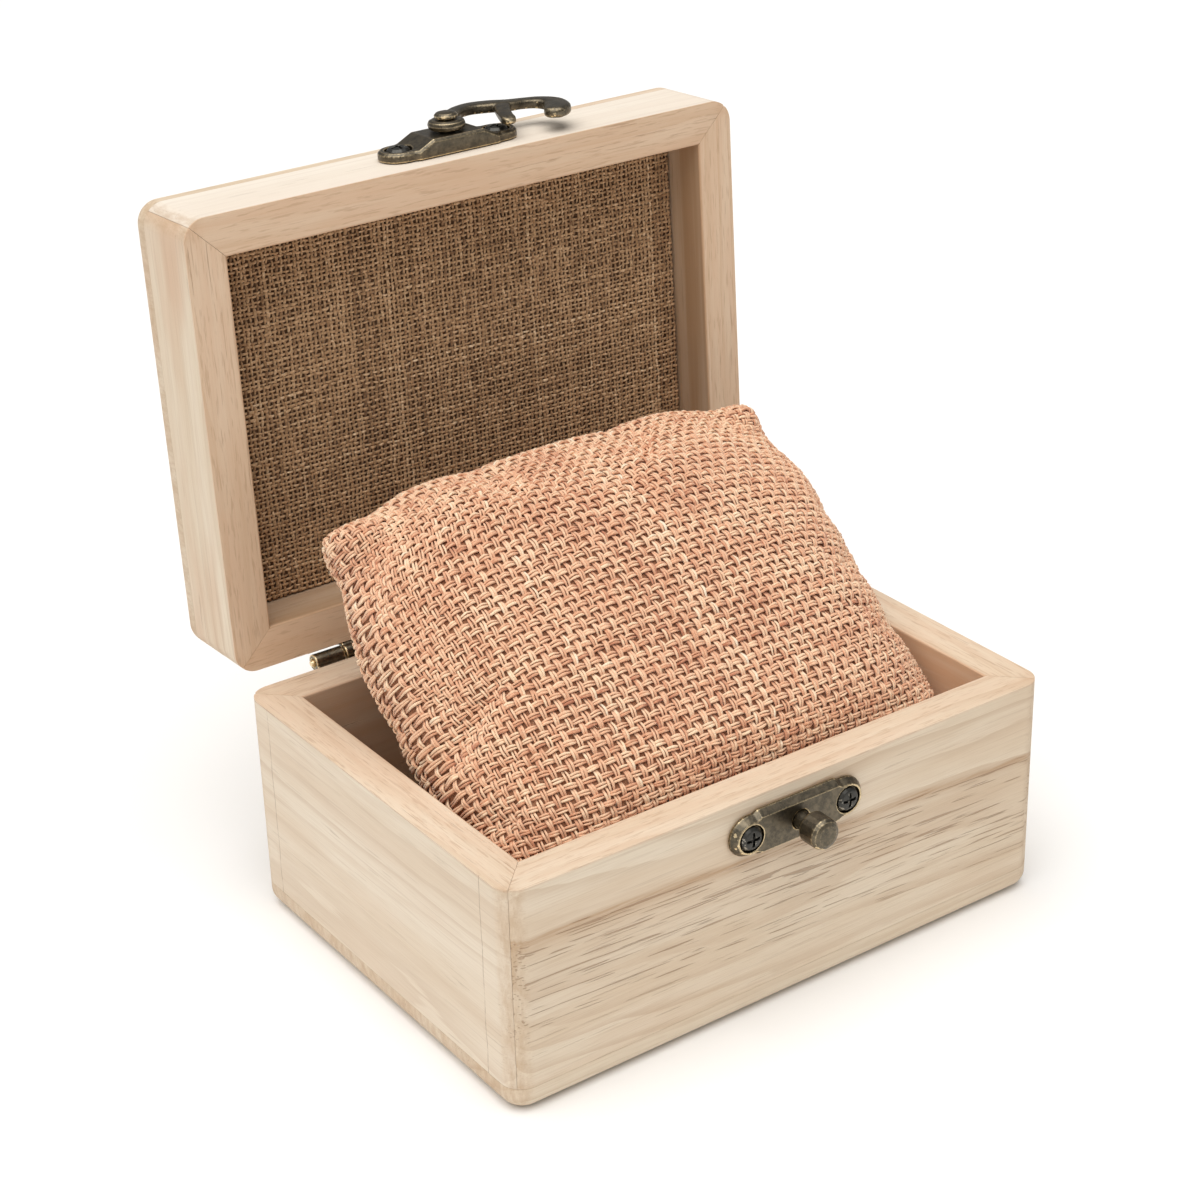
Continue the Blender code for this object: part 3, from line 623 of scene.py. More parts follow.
class Patch:
    """Smooth surface through a grid of points, with u and v from 0 to 1."""

    def __init__(self, grid):
        self.last = np.array(grid.shape[:2]) - 1
        grid = np.concatenate([2 * grid[:1] - grid[1:2], grid, 2 * grid[-1:] - grid[-2:-1]], 0)
        before = 2 * grid[:, :1] - grid[:, 1:2]
        after = 2 * grid[:, -1:] - grid[:, -2:-1]
        self.grid = np.concatenate([before, grid, after], 1)

    @staticmethod
    def weights(f):
        """Catmull-Rom weights of the four points round a place between the middle two."""
        return (
            ((2 - f) * f - 1) * f / 2,
            (f * f * (3 * f - 5) + 2) / 2,
            ((4 - 3 * f) * f + 1) * f / 2,
            (f - 1) * f * f / 2,
        )

    def at(self, u, v):
        x = np.clip(u, 0, 1) * self.last[0]
        y = np.clip(v, 0, 1) * self.last[1]
        i = np.minimum(x.astype(int), self.last[0] - 1)
        j = np.minimum(y.astype(int), self.last[1] - 1)
        wx, wy = self.weights(x - i), self.weights(y - j)
        total = np.zeros(x.shape + (3,))
        for a in range(4):
            for b in range(4):
                total += (wx[a] * wy[b])[..., None] * self.grid[i + a, j + b]
        return total

    def frame(self, u, v):
        """Points and outward normals."""
        du = self.at(u + NORMAL_STEP, v) - self.at(u - NORMAL_STEP, v)
        dv = self.at(u, v + NORMAL_STEP) - self.at(u, v - NORMAL_STEP)
        return self.at(u, v), unit(np.cross(du, dv))


def unit(vectors):
    return vectors / np.maximum(np.linalg.norm(vectors, axis=-1, keepdims=True), 1e-12)


def wander(rng, rows, stations, knots):
    """Smooth random values from -1 to 1 along each row."""
    values = rng.uniform(-1, 1, (rows, knots + 1))
    x = np.linspace(0, knots - 1e-6, stations)
    i = x.astype(int)
    f = x - i
    f = f * f * (3 - 2 * f)
    return values[:, i] * (1 - f) + values[:, i + 1] * f


YARN_SIDES = 4
YARN_FULLNESS = 1.18  # a four-sided tube is drawn larger, to look as thick as a round one


def tube_walls(index):
    """Quads between neighbouring stations of tubes, given as tube, station, side."""
    nearer, further = index[:, :-1], index[:, 1:]
    walls = np.stack([nearer, np.roll(nearer, -1, 2), np.roll(further, -1, 2), further], -1)
    return walls.reshape(-1, 4)


def yarns(patch, along, count, crossings, spec, seed):
    """Tubes for one direction of a plain weave laid on a patch.

    along is 0 for yarns that run with u and 1 for yarns that run with v.  Sizes in spec
    are in metres; spread, sway, slub and stray are shares of a yarn's width or pitch, and
    tones is how much the strands differ in colour."""
    rng = np.random.default_rng(seed)
    strands, width, height = spec["strands"], spec["width"], spec["height"]
    stations = crossings * spec["steps"] + 1

    def noise(knots=crossings):
        return wander(rng, count, stations, knots)

    rows = np.arange(count)[:, None]
    s = np.broadcast_to(np.linspace(0, 1, stations), (count, stations))
    place = (rows + 0.5 + spec["sway"] * noise(crossings // 3)) / count
    points, normals = patch.frame(s, place) if along == 0 else patch.frame(place, s)
    across = np.cross(unit(np.gradient(points, axis=1)), normals)
    wave = np.cos(math.pi * (s * crossings - 0.5 + rows)) * (1 if along else -1)
    slub = 1 + spec["slub"] * noise(crossings // 4)
    turn = 2 * math.pi * (np.arange(YARN_SIDES) + 0.5) / YARN_SIDES
    verts, tone, depth = [], [], []
    for strand in range(strands):
        aside = (strand - (strands - 1) / 2) * width * spec["spread"]
        aside = aside * (1 + 0.14 * wave) + width * spec["stray"] * noise()
        lift = spec["lift"] + spec["wave"] * wave + height * 0.22 * noise()
        size = slub * (1 + 0.16 * noise()) * (0.9 + 0.1 * wave)
        centre = points + across * aside[..., None] + normals * lift[..., None]
        half_width = (size * width / 2)[..., None, None]
        half_height = (size * height / 2)[..., None, None]
        side = (across[:, :, None] * np.cos(turn)[:, None]) * half_width
        rise = (normals[:, :, None] * np.sin(turn)[:, None]) * half_height
        verts.append(centre[:, :, None] + (side + rise) * YARN_FULLNESS)
        own = rng.normal(0.5, spec["tones"], (count, 1)) + 0.15 * noise()
        tone.append(np.repeat(own[..., None], YARN_SIDES, 2))
        # Height along the wave and round each tube; the yarn shaders paint shade where it is low.
        depth.append(np.repeat(wave[..., None], YARN_SIDES, 2) + 0.5 * np.sin(turn))
    verts = np.stack(verts, 1)
    index = np.arange(verts.size // 3).reshape(count * strands, stations, YARN_SIDES)
    quads = np.concatenate([tube_walls(index), index[:, 0, ::-1], index[:, -1]])
    if along == 0:
        quads = quads[:, ::-1]
    values = {"tone": np.stack(tone, 1).ravel(), "depth": np.stack(depth, 1).ravel()}
    return verts.reshape(-1, 3), quads, values


def halves(verts, quads, values):
    """Two meshes, each with half of the tubes."""
    cut = len(verts) // 2
    first = quads.max(1) < cut
    return (
        (verts[:cut], quads[first], {key: value[:cut] for key, value in values.items()}),
        (verts[cut:], quads[~first] - cut, {key: value[cut:] for key, value in values.items()}),
    )


# ---- cushion ---------------------------------------------------------------------------
HALF_WIDTH = 46.8 * MM
HALF_LENGTH = 43.2 * MM
HALF_THICK = 19.5 * MM
CUSHION_CENTRE = np.array((-0.4, -2.5, 43.9)) * MM
CUSHION_TILT = math.radians(41.5)
CUSHION_SLUMP = 0.18  # share by which the stuffing gathers at the low end
PRESS_START = -27.0 * MM  # the front wall flattens the cushion from here on
PRESS_DEPTH = 5.0 * MM
SIDE_START = 44.6 * MM  # and the side walls from here on
SIDE_DEPTH = 1.7 * MM
BACK_START = 29.0 * MM  # and the shut lid's back wall from here on
BACK_DEPTH = 1.7 * MM
EAR_PULL = 0.07  # how far the seams are drawn in beside the two upper corners
EAR_NECK = 0.76  # and where, as a share of the half width or length
EAR_NECK_WIDTH = 0.16

CELLS = (60, 52)  # of each simulated panel
FLAT_WIDTH = 99.0 * MM
FLAT_LENGTH = 88.0 * MM
SIM_SCALE = 10.0
SIM_FRAMES = 30
SIM_PARTING = 4.0 * MM  # between the flat panels' middles at the start
SIM_SHARE = 0.55  # share of the simulated shape in the final one
SEAM_SHARE = 0.12  # and the same near the seams
CALM_FROM = 0.55  # where the latter begins, from the middle out

CLOTH_CELLS = (110, 96)  # of the finished cloth under the yarns
CLOTH_LIFT = 1.0 * MM  # room left for the yarns
YARN_PITCH = 1.41 * MM
WEFT = dict(steps=4, strands=2, width=0.47 * MM, height=0.42 * MM, spread=0.96, wave=0.30 * MM,
            lift=0.44 * MM, sway=0.11, slub=0.14, stray=0.17, tones=0.13)
WARP = dict(steps=3, strands=2, width=0.47 * MM, height=0.40 * MM, spread=0.98, wave=0.30 * MM,
            lift=0.41 * MM, sway=0.13, slub=0.15, stray=0.20, tones=0.13)
FIBRES_PER_FACE = 900
FIBRE_ROOT = 0.65 * MM  # above the cloth
FIBRE_RADIUS = 0.022 * MM


def panel_coordinates(cells, low=0.0):
    """u and v from low to 1 over a panel's grid of points."""
    u, v = (np.linspace(low, 1, count + 1) for count in cells)
    return np.meshgrid(u, v, indexing="ij")


def pouch_grids(cells):
    """Indices of the points of the two panels, which share their edge."""
    top = np.arange((cells[0] + 1) * (cells[1] + 1)).reshape(cells[0] + 1, cells[1] + 1)
    inner = np.zeros_like(top, bool)
    inner[1:-1, 1:-1] = True
    bottom = top.copy()
    bottom[inner] = top.size + np.arange(inner.sum())
    return top, bottom, inner


def panel_faces(top, bottom):
    faces = []
    for grid, flip in ((top, False), (bottom, True)):
        a, b, c, d = grid[:-1, :-1], grid[1:, :-1], grid[1:, 1:], grid[:-1, 1:]
        faces.append(np.stack([a, d, c, b] if flip else [a, b, c, d], -1).reshape(-1, 4))
    return np.concatenate(faces)


def inflated_pouch():
    """Two flat panels joined round their edge and blown up by cloth simulation."""
    top, bottom, _ = pouch_grids(CELLS)
    u, v = panel_coordinates(CELLS, -1)
    corner = 1 - 0.085 * (np.abs(u) * np.abs(v)) ** 5
    parting = SIM_PARTING * (1 - u**2) * (1 - v**2)
    flat = np.stack([u * corner * FLAT_WIDTH / 2, v * corner * FLAT_LENGTH / 2, parting], -1)
    points = np.zeros((bottom.max() + 1, 3))
    points[bottom] = flat * (1, 1, -1)
    points[top] = flat
    mesh = bpy.data.meshes.new("pouch")
    mesh.from_pydata((points * SIM_SCALE).tolist(), [], panel_faces(top, bottom).tolist())
    obj = bpy.data.objects.new("pouch", mesh)
    SCENE.collection.objects.link(obj)
    cloth = obj.modifiers.new("cloth", "CLOTH")
    settings = cloth.settings
    settings.quality = 8
    settings.mass = 0.25
    settings.tension_stiffness = settings.compression_stiffness = 22
    settings.shear_stiffness = 9
    settings.bending_stiffness = 0.9
    settings.tension_damping = settings.compression_damping = 8
    settings.bending_damping = 1.5
    settings.air_damping = 3.0
    settings.use_pressure = True
    settings.uniform_pressure_force = 7.0
    settings.effector_weights.gravity = 0
    cloth.collision_settings.use_collision = False
    cloth.point_cache.frame_start = 1
    cloth.point_cache.frame_end = SIM_FRAMES
    for frame_number in range(1, SIM_FRAMES + 1):
        SCENE.frame_set(frame_number)
    blown = obj.evaluated_get(bpy.context.evaluated_depsgraph_get()).to_mesh()
    points = mesh_points(blown) / SIM_SCALE
    obj.to_mesh_clear()
    bpy.data.objects.remove(obj)
    bpy.data.meshes.remove(mesh)
    SCENE.frame_set(1)
    return points[top], points[bottom]


def full_pouch():
    """The shape of a well-stuffed pouch by formula, in the same grids."""
    u, v = panel_coordinates(CELLS, -1)
    corner = 1 - 0.075 * (np.abs(u) * np.abs(v)) ** 7
    thick = np.clip((1 - np.abs(u) ** 3.4) * (1 - np.abs(v) ** 2.8), 0, 1) ** 0.54
    thick *= 1 + 0.9 * np.exp(-((np.abs(u) - 0.9) ** 2 + (v - 0.9) ** 2) / 0.10**2)
    x = u * corner * (1 - 0.13 * (1 - v**2))
    y = v * corner * (1 - 0.10 * (1 - u**2))
    return np.stack([x, y, thick], -1), np.stack([x, y, -thick], -1)


def settle_in_box(points):
    """Pouch points, from -1 to 1, taken to the place and pressed shape of the cushion."""
    x, y, z = np.moveaxis(points, -1, 0)
    # The stuffing spreads the sides, so the seams pull in less than a bare balloon's.
    # The two upper corners stay out as ears, with the cloth drawn in beside them.
    drawn = EAR_PULL * np.exp(-(((y - EAR_NECK) / EAR_NECK_WIDTH) ** 2))
    x = x * (1 + 0.13 * (1 - np.clip(np.abs(y), 0, 1) ** 2) - drawn) * HALF_WIDTH
    across = np.clip(np.abs(x) / HALF_WIDTH, 0, 1)
    drawn = EAR_PULL * np.exp(-(((across - EAR_NECK) / EAR_NECK_WIDTH) ** 2))
    drawn *= np.clip(y, 0, 1) ** 4
    y = y * (1 + 0.16 * (1 - across**2) - drawn) * HALF_LENGTH
    z = z * (1 - CUSHION_SLUMP * y / HALF_LENGTH) * (HALF_THICK - CLOTH_LIFT)
    cos, sin = math.cos(CUSHION_TILT), math.sin(CUSHION_TILT)
    tilted = np.stack([x, y * cos - z * sin, y * sin + z * cos], -1) + CUSHION_CENTRE
    x, y, z = np.moveaxis(tilted, -1, 0)
    beyond = np.maximum(PRESS_START - y, 0)
    y = np.where(beyond > 0, PRESS_START - PRESS_DEPTH * (1 - np.exp(-beyond / PRESS_DEPTH)), y)
    past = np.maximum(y - BACK_START, 0)
    y = y - past + BACK_DEPTH * np.tanh(past / BACK_DEPTH)
    past = np.maximum(np.abs(x) - SIDE_START, 0)
    x = np.sign(x) * (np.abs(x) - past + SIDE_DEPTH * np.tanh(past / SIDE_DEPTH))
    return np.stack([x, y, z], -1)


def cushion_patches():
    """Upper and lower faces: the simulated pouch, eased towards a well-stuffed one."""
    panels = full_pouch()
    blown = inflated_pouch()
    reach = np.abs(blown[0]).max((0, 1))
    u, v = panel_coordinates(CELLS, -1)
    outward = np.maximum(np.abs(u), np.abs(v))[..., None]
    calm = np.clip((outward - CALM_FROM) / (1 - CALM_FROM), 0, 1) ** 2
    share = SIM_SHARE + (SEAM_SHARE - SIM_SHARE) * calm
    panels = [share * b / reach + (1 - share) * f for b, f in zip(blown, panels)]
    return Patch(settle_in_box(panels[0])), Patch(settle_in_box(panels[1])[:, ::-1])


def cushion_yarn_cloth():
    n = Nodes("peach_yarn")
    at = n.object_mm()
    tone = n.attribute("tone")
    depth = n.attribute("depth")
    patchy = n.noise(at, 0.13, 3.0, 0.6)
    fine = n.noise(at, 2.2, 2.0, 0.6)
    value = n.plus(n.plus(tone, n.around_zero(patchy, 0.55)), n.around_zero(fine, 0.5))
    stops = (
        (0.02, (0.50, 0.20, 0.11)),
        (0.28, (0.74, 0.385, 0.225)),
        (0.52, (0.87, 0.54, 0.345)),
        (0.76, (0.94, 0.69, 0.465)),
        (0.98, (0.95, 0.80, 0.61)),
    )
    colour = n.ramp(value, stops)
    # Painted shade where a yarn dips under its neighbours and on the underside of each strand.
    dip_shade = n.step(depth, 0.45, -0.9)
    colour = n.mix(n.times(dip_shade, 0.42), colour, (0.40, 0.17, 0.09))
    fibre = n.noise(n.stretched(at, 6.0, 6.0, 6.0), 1.0, 3.0, 0.7)
    n.bump(fibre, 0.00006, 0.8)
    n.shader.inputs["Sheen Weight"].default_value = 0.25
    n.shader.inputs["Sheen Roughness"].default_value = 0.5
    n.shader.inputs["Specular IOR Level"].default_value = 0.25
    return n.finish(colour, 0.78)


# Cloth body under the yarns; its dark colour is painted shade, which shows in the gaps between the
# yarns.
def cushion_gap_shade_cloth():
    n = Nodes("peach_gap_shade")
    at = n.object_mm()
    tone = n.noise(at, 0.5, 4.0, 0.6)
    stops = (
        (0.25, (0.27, 0.115, 0.06)),
        (0.5, (0.40, 0.19, 0.105)),
        (0.75, (0.54, 0.29, 0.17)),
    )
    colour = n.ramp(tone, stops)
    n.bump(n.noise(at, 3.0, 3.0, 0.7), 0.0002, 0.8)
    n.shader.inputs["Specular IOR Level"].default_value = 0.2
    return n.finish(colour, 0.9)


def loose_fibres(patch, count, seed):
    """Short curled hairs that stand off the yarns."""
    rng = np.random.default_rng(seed)
    u, v = rng.uniform(0.01, 0.99, (2, count))
    points, normals = patch.frame(u, v)
    aside = unit(np.cross(normals, rng.normal(size=(count, 3))))
    bend = unit(np.cross(normals, aside))
    stations, sides = 6, 3
    t = np.linspace(0, 1, stations)[None, :, None]
    length = rng.uniform(0.8, 2.6, (count, 1, 1)) * MM
    rise = rng.uniform(0.15, 0.75, (count, 1, 1))
    curl = rng.uniform(-0.8, 0.8, (count, 1, 1))
    root = (points + normals * FIBRE_ROOT)[:, None]
    path = aside[:, None] * t + normals[:, None] * rise * t * (1.25 - t) + bend[:, None] * curl * t**2
    line = root + length * path
    turn = 2 * math.pi * np.arange(sides) / sides
    thick = FIBRE_RADIUS * (1.15 - t)
    around = normals[:, None, None] * np.cos(turn)[:, None]
    around = around + bend[:, None, None] * np.sin(turn)[:, None]
    verts = line[:, :, None] + thick[..., None] * around
    quads = tube_walls(np.arange(count * stations * sides).reshape(count, stations, sides))
    tone = np.repeat(rng.normal(0.75, 0.15, count), stations * sides)
    return verts.reshape(-1, 3), quads, {"tone": tone, "depth": np.ones(len(tone))}


def add_cushion():
    """Cloth pouch with the yarns of its weave and their loose fibres on both faces."""
    upper, lower = cushion_patches()
    yarn = cushion_yarn_cloth()
    u, v = panel_coordinates(CLOTH_CELLS)
    top, bottom, inner = pouch_grids(CLOTH_CELLS)
    points = np.concatenate([upper.at(u, v).reshape(-1, 3), lower.at(u, 1 - v)[inner]])
    cover = fast_piece("cushion_cloth", points, panel_faces(top, bottom), cushion_gap_shade_cloth())
    across, down = round(FLAT_WIDTH / YARN_PITCH), round(FLAT_LENGTH / YARN_PITCH)
    pieces = []
    for side, patch, seed in (("upper", upper, 51), ("lower", lower, 61)):
        weft = yarns(patch, 0, down, across, WEFT, seed)
        warp = yarns(patch, 1, across, down, WARP, seed + 1)
        for name, threads in (("weft", weft), ("warp", warp)):
            for part, mesh in enumerate(halves(*threads), 1):
                pieces.append(fast_piece(f"cushion_{name}_{side}_{part}", *mesh[:2], yarn, mesh[2]))
        fuzz = loose_fibres(patch, FIBRES_PER_FACE, seed + 2)
        pieces.append(fast_piece(f"cushion_fuzz_{side}", *fuzz[:2], yarn, fuzz[2]))
    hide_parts("cushion_cover", "cushion_filling")
    for obj in (cover, *pieces):
        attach(obj, "base")
        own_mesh(obj)


# ---- lid lining --------------------------------------------------------------------------
LINING_PITCH = 0.84 * MM
LINING_THREAD = dict(steps=2, strands=1, width=0.50 * MM, height=0.27 * MM, spread=1.0,
                     wave=0.15 * MM, lift=0.17 * MM, sway=0.24, slub=0.26, stray=0.10, tones=0.09)
LINING_UP = dict(LINING_THREAD, width=0.53 * MM, lift=0.19 * MM, wave=0.12 * MM)
LINING_CELLS = (96, 66)
LINING_SINK = 0.42 * MM  # the cloth under the threads lies this deep in the CAD's sheet
PUCKERS = 14  # slow waves added up over the cloth
PUCKER_EDGE = 4.0 * MM  # they fade out over this strip at its edges
PALE_BURLAP = (
    (0.05, (0.19, 0.10, 0.048)),
    (0.45, (0.475, 0.285, 0.148)),
    (0.75, (0.66, 0.43, 0.245)),
    (0.98, (0.88, 0.66, 0.43)),
)
DARK_BURLAP = (
    (0.05, (0.155, 0.08, 0.037)),
    (0.45, (0.405, 0.237, 0.12)),
    (0.75, (0.56, 0.355, 0.195)),
    (0.98, (0.78, 0.56, 0.35)),
)


def lining_yarn_cloth(name, stops):
    n = Nodes(name)
    at = n.object_mm()
    patchy = n.noise(n.stretched(at, 0.8, 0.8, 0.25), 1.0, 4.0, 0.65)
    fine = n.noise(at, 2.6, 2.0, 0.6)
    value = n.plus(n.attribute("tone"), n.around_zero(patchy, 0.8))
    colour = n.ramp(n.plus(value, n.around_zero(fine, 0.9)), stops)
    # Painted shade where a thread dips under its neighbours and on the underside of each thread.
    dip_shade = n.step(n.attribute("depth"), 0.5, -0.8)
    colour = n.mix(n.times(dip_shade, 0.5), colour, (0.085, 0.046, 0.023))
    n.bump(n.noise(at, 7.0, 3.0, 0.7), 0.00005, 0.8)
    n.shader.inputs["Sheen Weight"].default_value = 0.15
    n.shader.inputs["Specular IOR Level"].default_value = 0.2
    return n.finish(colour, 0.85)


# Cloth sheet under the threads; its dark colour is painted shade, which shows in the gaps between the
# threads.
def lining_gap_shade_cloth():
    n = Nodes("burlap_gap_shade")
    at = n.object_mm()
    tone = n.noise(at, 0.8, 4.0, 0.65)
    colour = n.ramp(tone, ((0.3, (0.065, 0.032, 0.015)), (0.7, (0.15, 0.082, 0.042))))
    n.bump(n.noise(at, 4.0, 3.0, 0.7), 0.0001, 0.8)
    n.shader.inputs["Specular IOR Level"].default_value = 0.15
    return n.finish(colour, 0.92)


def moved_by(matrix, points):
    matrix = np.array(matrix)
    return points @ matrix[:3, :3].T + matrix[:3, 3]


def add_lining():
    """Cloth stretched over the card in the lid, with the threads of its weave."""
    shut = moved_by(LID_OPEN.inverted(), mesh_points(bpy.data.objects["lid_lining_cloth"].data))
    low, high = shut.min(0), shut.max(0)
    rng = np.random.default_rng(71)

    # Points over the cloth's face, which looks down when the lid is shut; the cloth is
    # pulled over its card, so it puckers by a tenth of a millimetre or so.
    u, v = panel_coordinates(LINING_CELLS)
    width, length = high[0] - low[0], high[1] - low[1]
    x = high[0] - width * u
    y = low[1] + length * v
    pucker = np.zeros_like(x)
    for _ in range(PUCKERS):
        kx, ky = rng.uniform(20, 160), rng.uniform(10, 60)
        pucker += rng.uniform(0.01, 0.035) * MM * np.sin(kx * x + ky * y + rng.uniform(0, 6.3))
    to_edge = np.minimum(np.minimum(u, 1 - u) * width, np.minimum(v, 1 - v) * length)
    pucker *= np.clip(to_edge / PUCKER_EDGE, 0, 1)
    front = moved_by(LID_OPEN, np.stack([x, y, low[2] + LINING_SINK + pucker], -1))
    behind = moved_by(LID_OPEN, np.stack([x, y, np.full_like(x, high[2])], -1))

    top = np.arange(u.size).reshape(u.shape)
    rim = np.concatenate([top[:, 0], top[-1, 1:], top[-2::-1, -1], top[0, -2:0:-1]])
    after = np.roll(rim, -1)
    edge = np.stack([rim, rim + u.size, after + u.size, after], -1)
    quads = np.concatenate([panel_faces(top, top + u.size), edge])
    points = np.concatenate([front.reshape(-1, 3), behind.reshape(-1, 3)])
    cloth = fast_piece("lining_cloth", points, quads, lining_gap_shade_cloth())

    patch = Patch(front)
    across, down = round(width / LINING_PITCH), round(length / LINING_PITCH)
    pale = lining_yarn_cloth("burlap_weft", PALE_BURLAP)
    dark = lining_yarn_cloth("burlap_warp", DARK_BURLAP)
    weft = yarns(patch, 0, down, across, LINING_THREAD, 81)
    warp = yarns(patch, 1, across, down, LINING_UP, 82)
    threads = [
        fast_piece("lining_weft", *weft[:2], pale, weft[2]),
        fast_piece("lining_warp", *warp[:2], dark, warp[2]),
    ]
    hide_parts("lid_lining_cloth")
    for obj in (cloth, *threads):
        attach(obj, "lid")


def pad_card():
    n = Nodes("pad_card")
    at = n.object_mm()
    fibres = n.noise(n.stretched(at, 1.2, 1.2, 3.0), 1.0, 4.0, 0.7)
    n.bump(fibres, 0.0001, 0.6)
    return n.finish(n.mix(fibres, (0.56, 0.50, 0.41), (0.70, 0.65, 0.56)), 0.92)


# ---- hardware ------------------------------------------------------------------------------
def antique_brass():
    """Cast brass: dark in the hollows, rubbed bright along its edges."""
    n = Nodes("worn_brass")
    at = n.object_mm()
    worn = n.add("NewGeometry").outputs["Pointiness"]
    blotch = n.noise(at, 0.7, 4.0, 0.65)
    grit = n.noise(at, 3.5, 4.0, 0.7)
    edge = n.step(n.plus(worn, n.around_zero(grit, 0.05)), 0.506, 0.545)
    hollow = n.step(worn, 0.497, 0.455)
    colour = n.mix(n.step(blotch, 0.35, 0.68), (0.085, 0.075, 0.058), (0.165, 0.138, 0.098))
    colour = n.mix(n.times(n.step(grit, 0.45, 0.75), 0.35), colour, (0.27, 0.205, 0.125))
    colour = n.mix(n.times(hollow, 0.8), colour, (0.035, 0.027, 0.016))
    colour = n.mix(n.times(edge, 0.9), colour, (0.86, 0.68, 0.41))
    roughness = n.plus(n.step(grit, 0.25, 0.8, 0.30, 0.46), n.times(edge, -0.08))
    n.bump(n.noise(at, 2.4, 4.0, 0.65), 0.00006, 0.7)
    return n.finish(colour, roughness, 1.0)


def dark_screw():
    n = Nodes("blackened_screw")
    at = n.object_mm()
    worn = n.add("NewGeometry").outputs["Pointiness"]
    grit = n.noise(at, 4.0, 3.0, 0.65)
    edge = n.step(n.plus(worn, n.around_zero(grit, 0.06)), 0.52, 0.60)
    colour = n.mix(grit, (0.035, 0.034, 0.032), (0.10, 0.097, 0.088))
    colour = n.mix(n.times(edge, 0.8), colour, (0.42, 0.39, 0.33))
    n.bump(grit, 0.00003, 0.6)
    return n.finish(colour, n.step(grit, 0.2, 0.8, 0.3, 0.48), 1.0)


def refine(obj, voxel, smooth):
    """Remesh a closed metal piece finely and soften its edges."""
    remesh = obj.modifiers.new("remesh", "REMESH")
    remesh.mode = "VOXEL"
    remesh.voxel_size = voxel
    soften = obj.modifiers.new("soften", "SMOOTH")
    soften.factor = 0.5
    soften.iterations = smooth
    result = bpy.data.meshes.new_from_object(obj.evaluated_get(bpy.context.evaluated_depsgraph_get()))
    result.name = obj.name
    obj.modifiers.clear()
    mat = obj.data.materials[0]
    obj.data = result
    result.materials.clear()
    result.materials.append(mat)
    result.shade_smooth()


def casting(node, body, mat, voxel, smooth=3):
    """A finer copy of a metal node, with the softened edges of a casting."""
    source = bpy.data.objects[node]
    mesh = source.data.copy()
    mesh.materials.clear()
    obj = link(f"{node}_cast", mesh, mat, source.matrix_world)
    refine(obj, voxel, smooth)
    stand_for(obj, body, node)


# The hook in its own plane: x towards its nose, y away from the lid's rim, z off the lid's
# face, then its half width and half height, in millimetres from the rivet.
HOOK_ARM = (
    (2.2, 2.0, 4.1, 1.25, 0.85),
    (4.6, 4.8, 4.15, 1.45, 0.9),
    (8.2, 6.1, 4.1, 1.55, 0.95),
    (11.8, 5.4, 4.0, 1.75, 0.95),
    (14.8, 4.2, 3.85, 1.6, 0.95),
    (18.0, 3.8, 3.7, 1.3, 0.9),
    (20.8, 2.7, 3.55, 1.5, 0.95),
    (22.2, 0.3, 3.4, 2.0, 1.05),
    (21.3, -2.5, 3.3, 2.4, 1.1),
    (19.6, -4.3, 3.3, 2.0, 1.0),
    (18.6, -5.5, 3.3, 1.2, 0.85),
)
HOOK_FINGER = (
    (14.3, 4.6, 3.95, 1.6, 0.8),
    (12.7, 1.8, 3.75, 1.4, 0.85),
    (11.3, -1.3, 3.4, 1.3, 0.85),
    (10.4, -4.3, 3.2, 1.4, 0.8),
)
# Radius and height of the rings round its eye.
HOOK_EYE = ((1.5, 3.3), (2.5, 3.2), (3.1, 3.5), (3.3, 4.1), (3.1, 4.7), (2.5, 5.0), (1.5, 4.95))
EYE_SIDES = 48
LIMB_STEPS = 8  # rings between two controls
LIMB_SIDES = 28
LIMB_SQUARENESS = 3.2  # 2 would make a limb oval


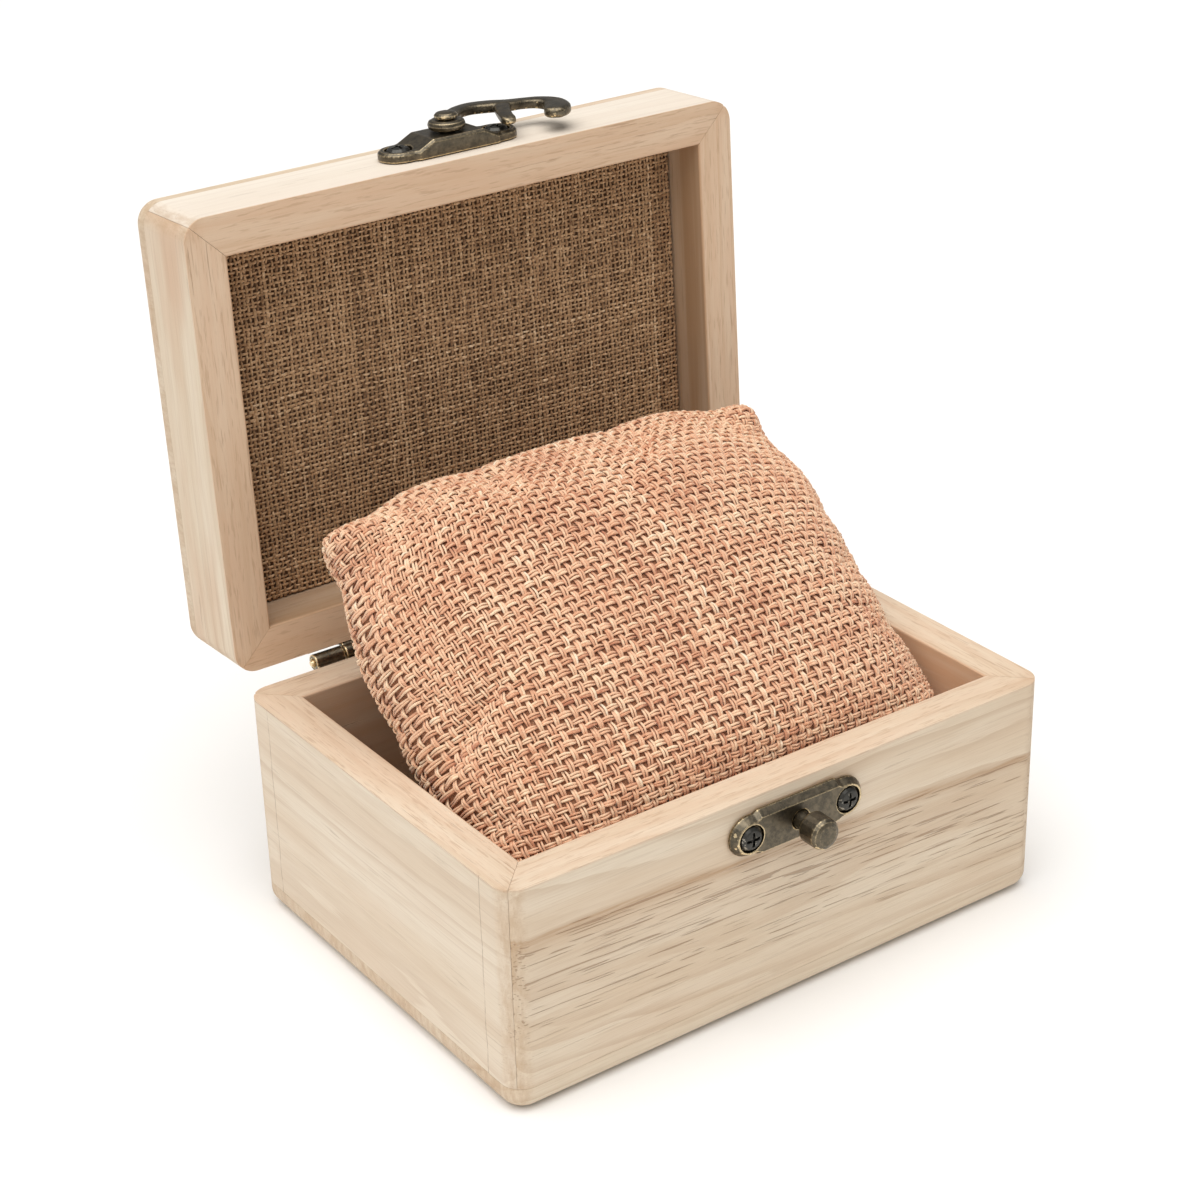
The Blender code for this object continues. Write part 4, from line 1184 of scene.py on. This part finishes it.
def flat_topped_limb(bm, controls):
    """Closed bar along the controls, squarish in section and rounded at its ends."""
    controls = np.array(controls)
    s = np.linspace(0, 1, (len(controls) - 1) * LIMB_STEPS + 1)
    centre = Patch(np.repeat(controls[:, None, :3], 2, 1)).at(s, s * 0)
    half = Patch(np.repeat(controls[:, None, 2:], 2, 1)).at(s, s * 0)[:, 1:]
    tangent = np.gradient(centre, axis=0)
    aside = unit(np.stack([-tangent[:, 1], tangent[:, 0], 0 * s], -1))
    turn = 2 * np.pi * np.arange(LIMB_SIDES) / LIMB_SIDES
    wide = np.sign(np.cos(turn)) * np.abs(np.cos(turn)) ** (2 / LIMB_SQUARENESS)
    tall = np.sign(np.sin(turn)) * np.abs(np.sin(turn)) ** (2 / LIMB_SQUARENESS)
    to_end = np.clip(np.minimum(s, 1 - s) * len(s) / 5, 0, 1)
    ease = np.sqrt(np.clip(1 - (1 - to_end) ** 2, 0.02, 1))
    rings = centre[:, None] + aside[:, None] * (half[:, :1] * ease[:, None] * wide)[..., None]
    rings[..., 2] += half[:, 1:] * ease[:, None] * tall
    stack_rings(bm, [[Vector(p) * MM for p in ring] for ring in rings])


def finer_hook(mat):
    """The latch hook with the flat top and soft edges of a casting."""
    bm = bmesh.new()
    flat_topped_limb(bm, HOOK_ARM)
    flat_topped_limb(bm, HOOK_FINGER)
    loops = []
    for radius, height in HOOK_EYE:
        ring = arc((0, 0), radius, 0, 360, EYE_SIDES)[:-1]
        loops.append([bm.verts.new(Vector((x, y, height)) * MM) for x, y in ring])
    for low, high in zip(loops, loops[1:] + loops[:1]):
        for i in range(EYE_SIDES):
            j = (i + 1) % EYE_SIDES
            bm.faces.new((low[i], low[j], high[j], high[i]))
    pivot = frame_joint("hook_pivot")
    axis = Vector(pivot["axis"]).normalized()
    along = Vector((1, 0, 0))
    place = Matrix((along, axis.cross(along), axis)).transposed().to_4x4()
    place.translation = Vector(pivot["pos_m"])
    obj = bmesh_piece("latch_hook_cast", bm, mat, place)
    refine(obj, 0.11 * MM, 3)
    stand_for(obj, "hook", "latch_hook")


def recolour(node, mat):
    mesh = bpy.data.objects[node].data
    mesh.materials.clear()
    mesh.materials.append(mat)


def add_hardware():
    brass, screw = antique_brass(), dark_screw()
    casting("catch_plate", "base", brass, 0.13 * MM)
    casting("catch_post", "base", brass, 0.11 * MM)
    casting("hook_plate", "lid", brass, 0.13 * MM)
    casting("hook_rivet", "lid", brass, 0.10 * MM)
    finer_hook(brass)
    for side in ("left", "right"):
        casting(f"catch_screw_{side}", "base", screw, 0.08 * MM, 2)
        casting(f"hook_plate_screw_{side}", "lid", screw, 0.08 * MM, 2)
        for half, body in (("lower", "base"), ("upper", "lid")):
            hinge = f"hinge_{side}_{half}"
            casting(f"{hinge}_leaf", body, brass, 0.16 * MM)
            for i in (1, 2):
                casting(f"{hinge}_screw_{i}", body, screw, 0.10 * MM, 2)
        recolour(f"hinge_{side}_pin", brass)
    recolour("lid_lining_pad", pad_card())


set_stage()
aim_camera()
add_wood()
add_lining()
add_cushion()
add_hardware()
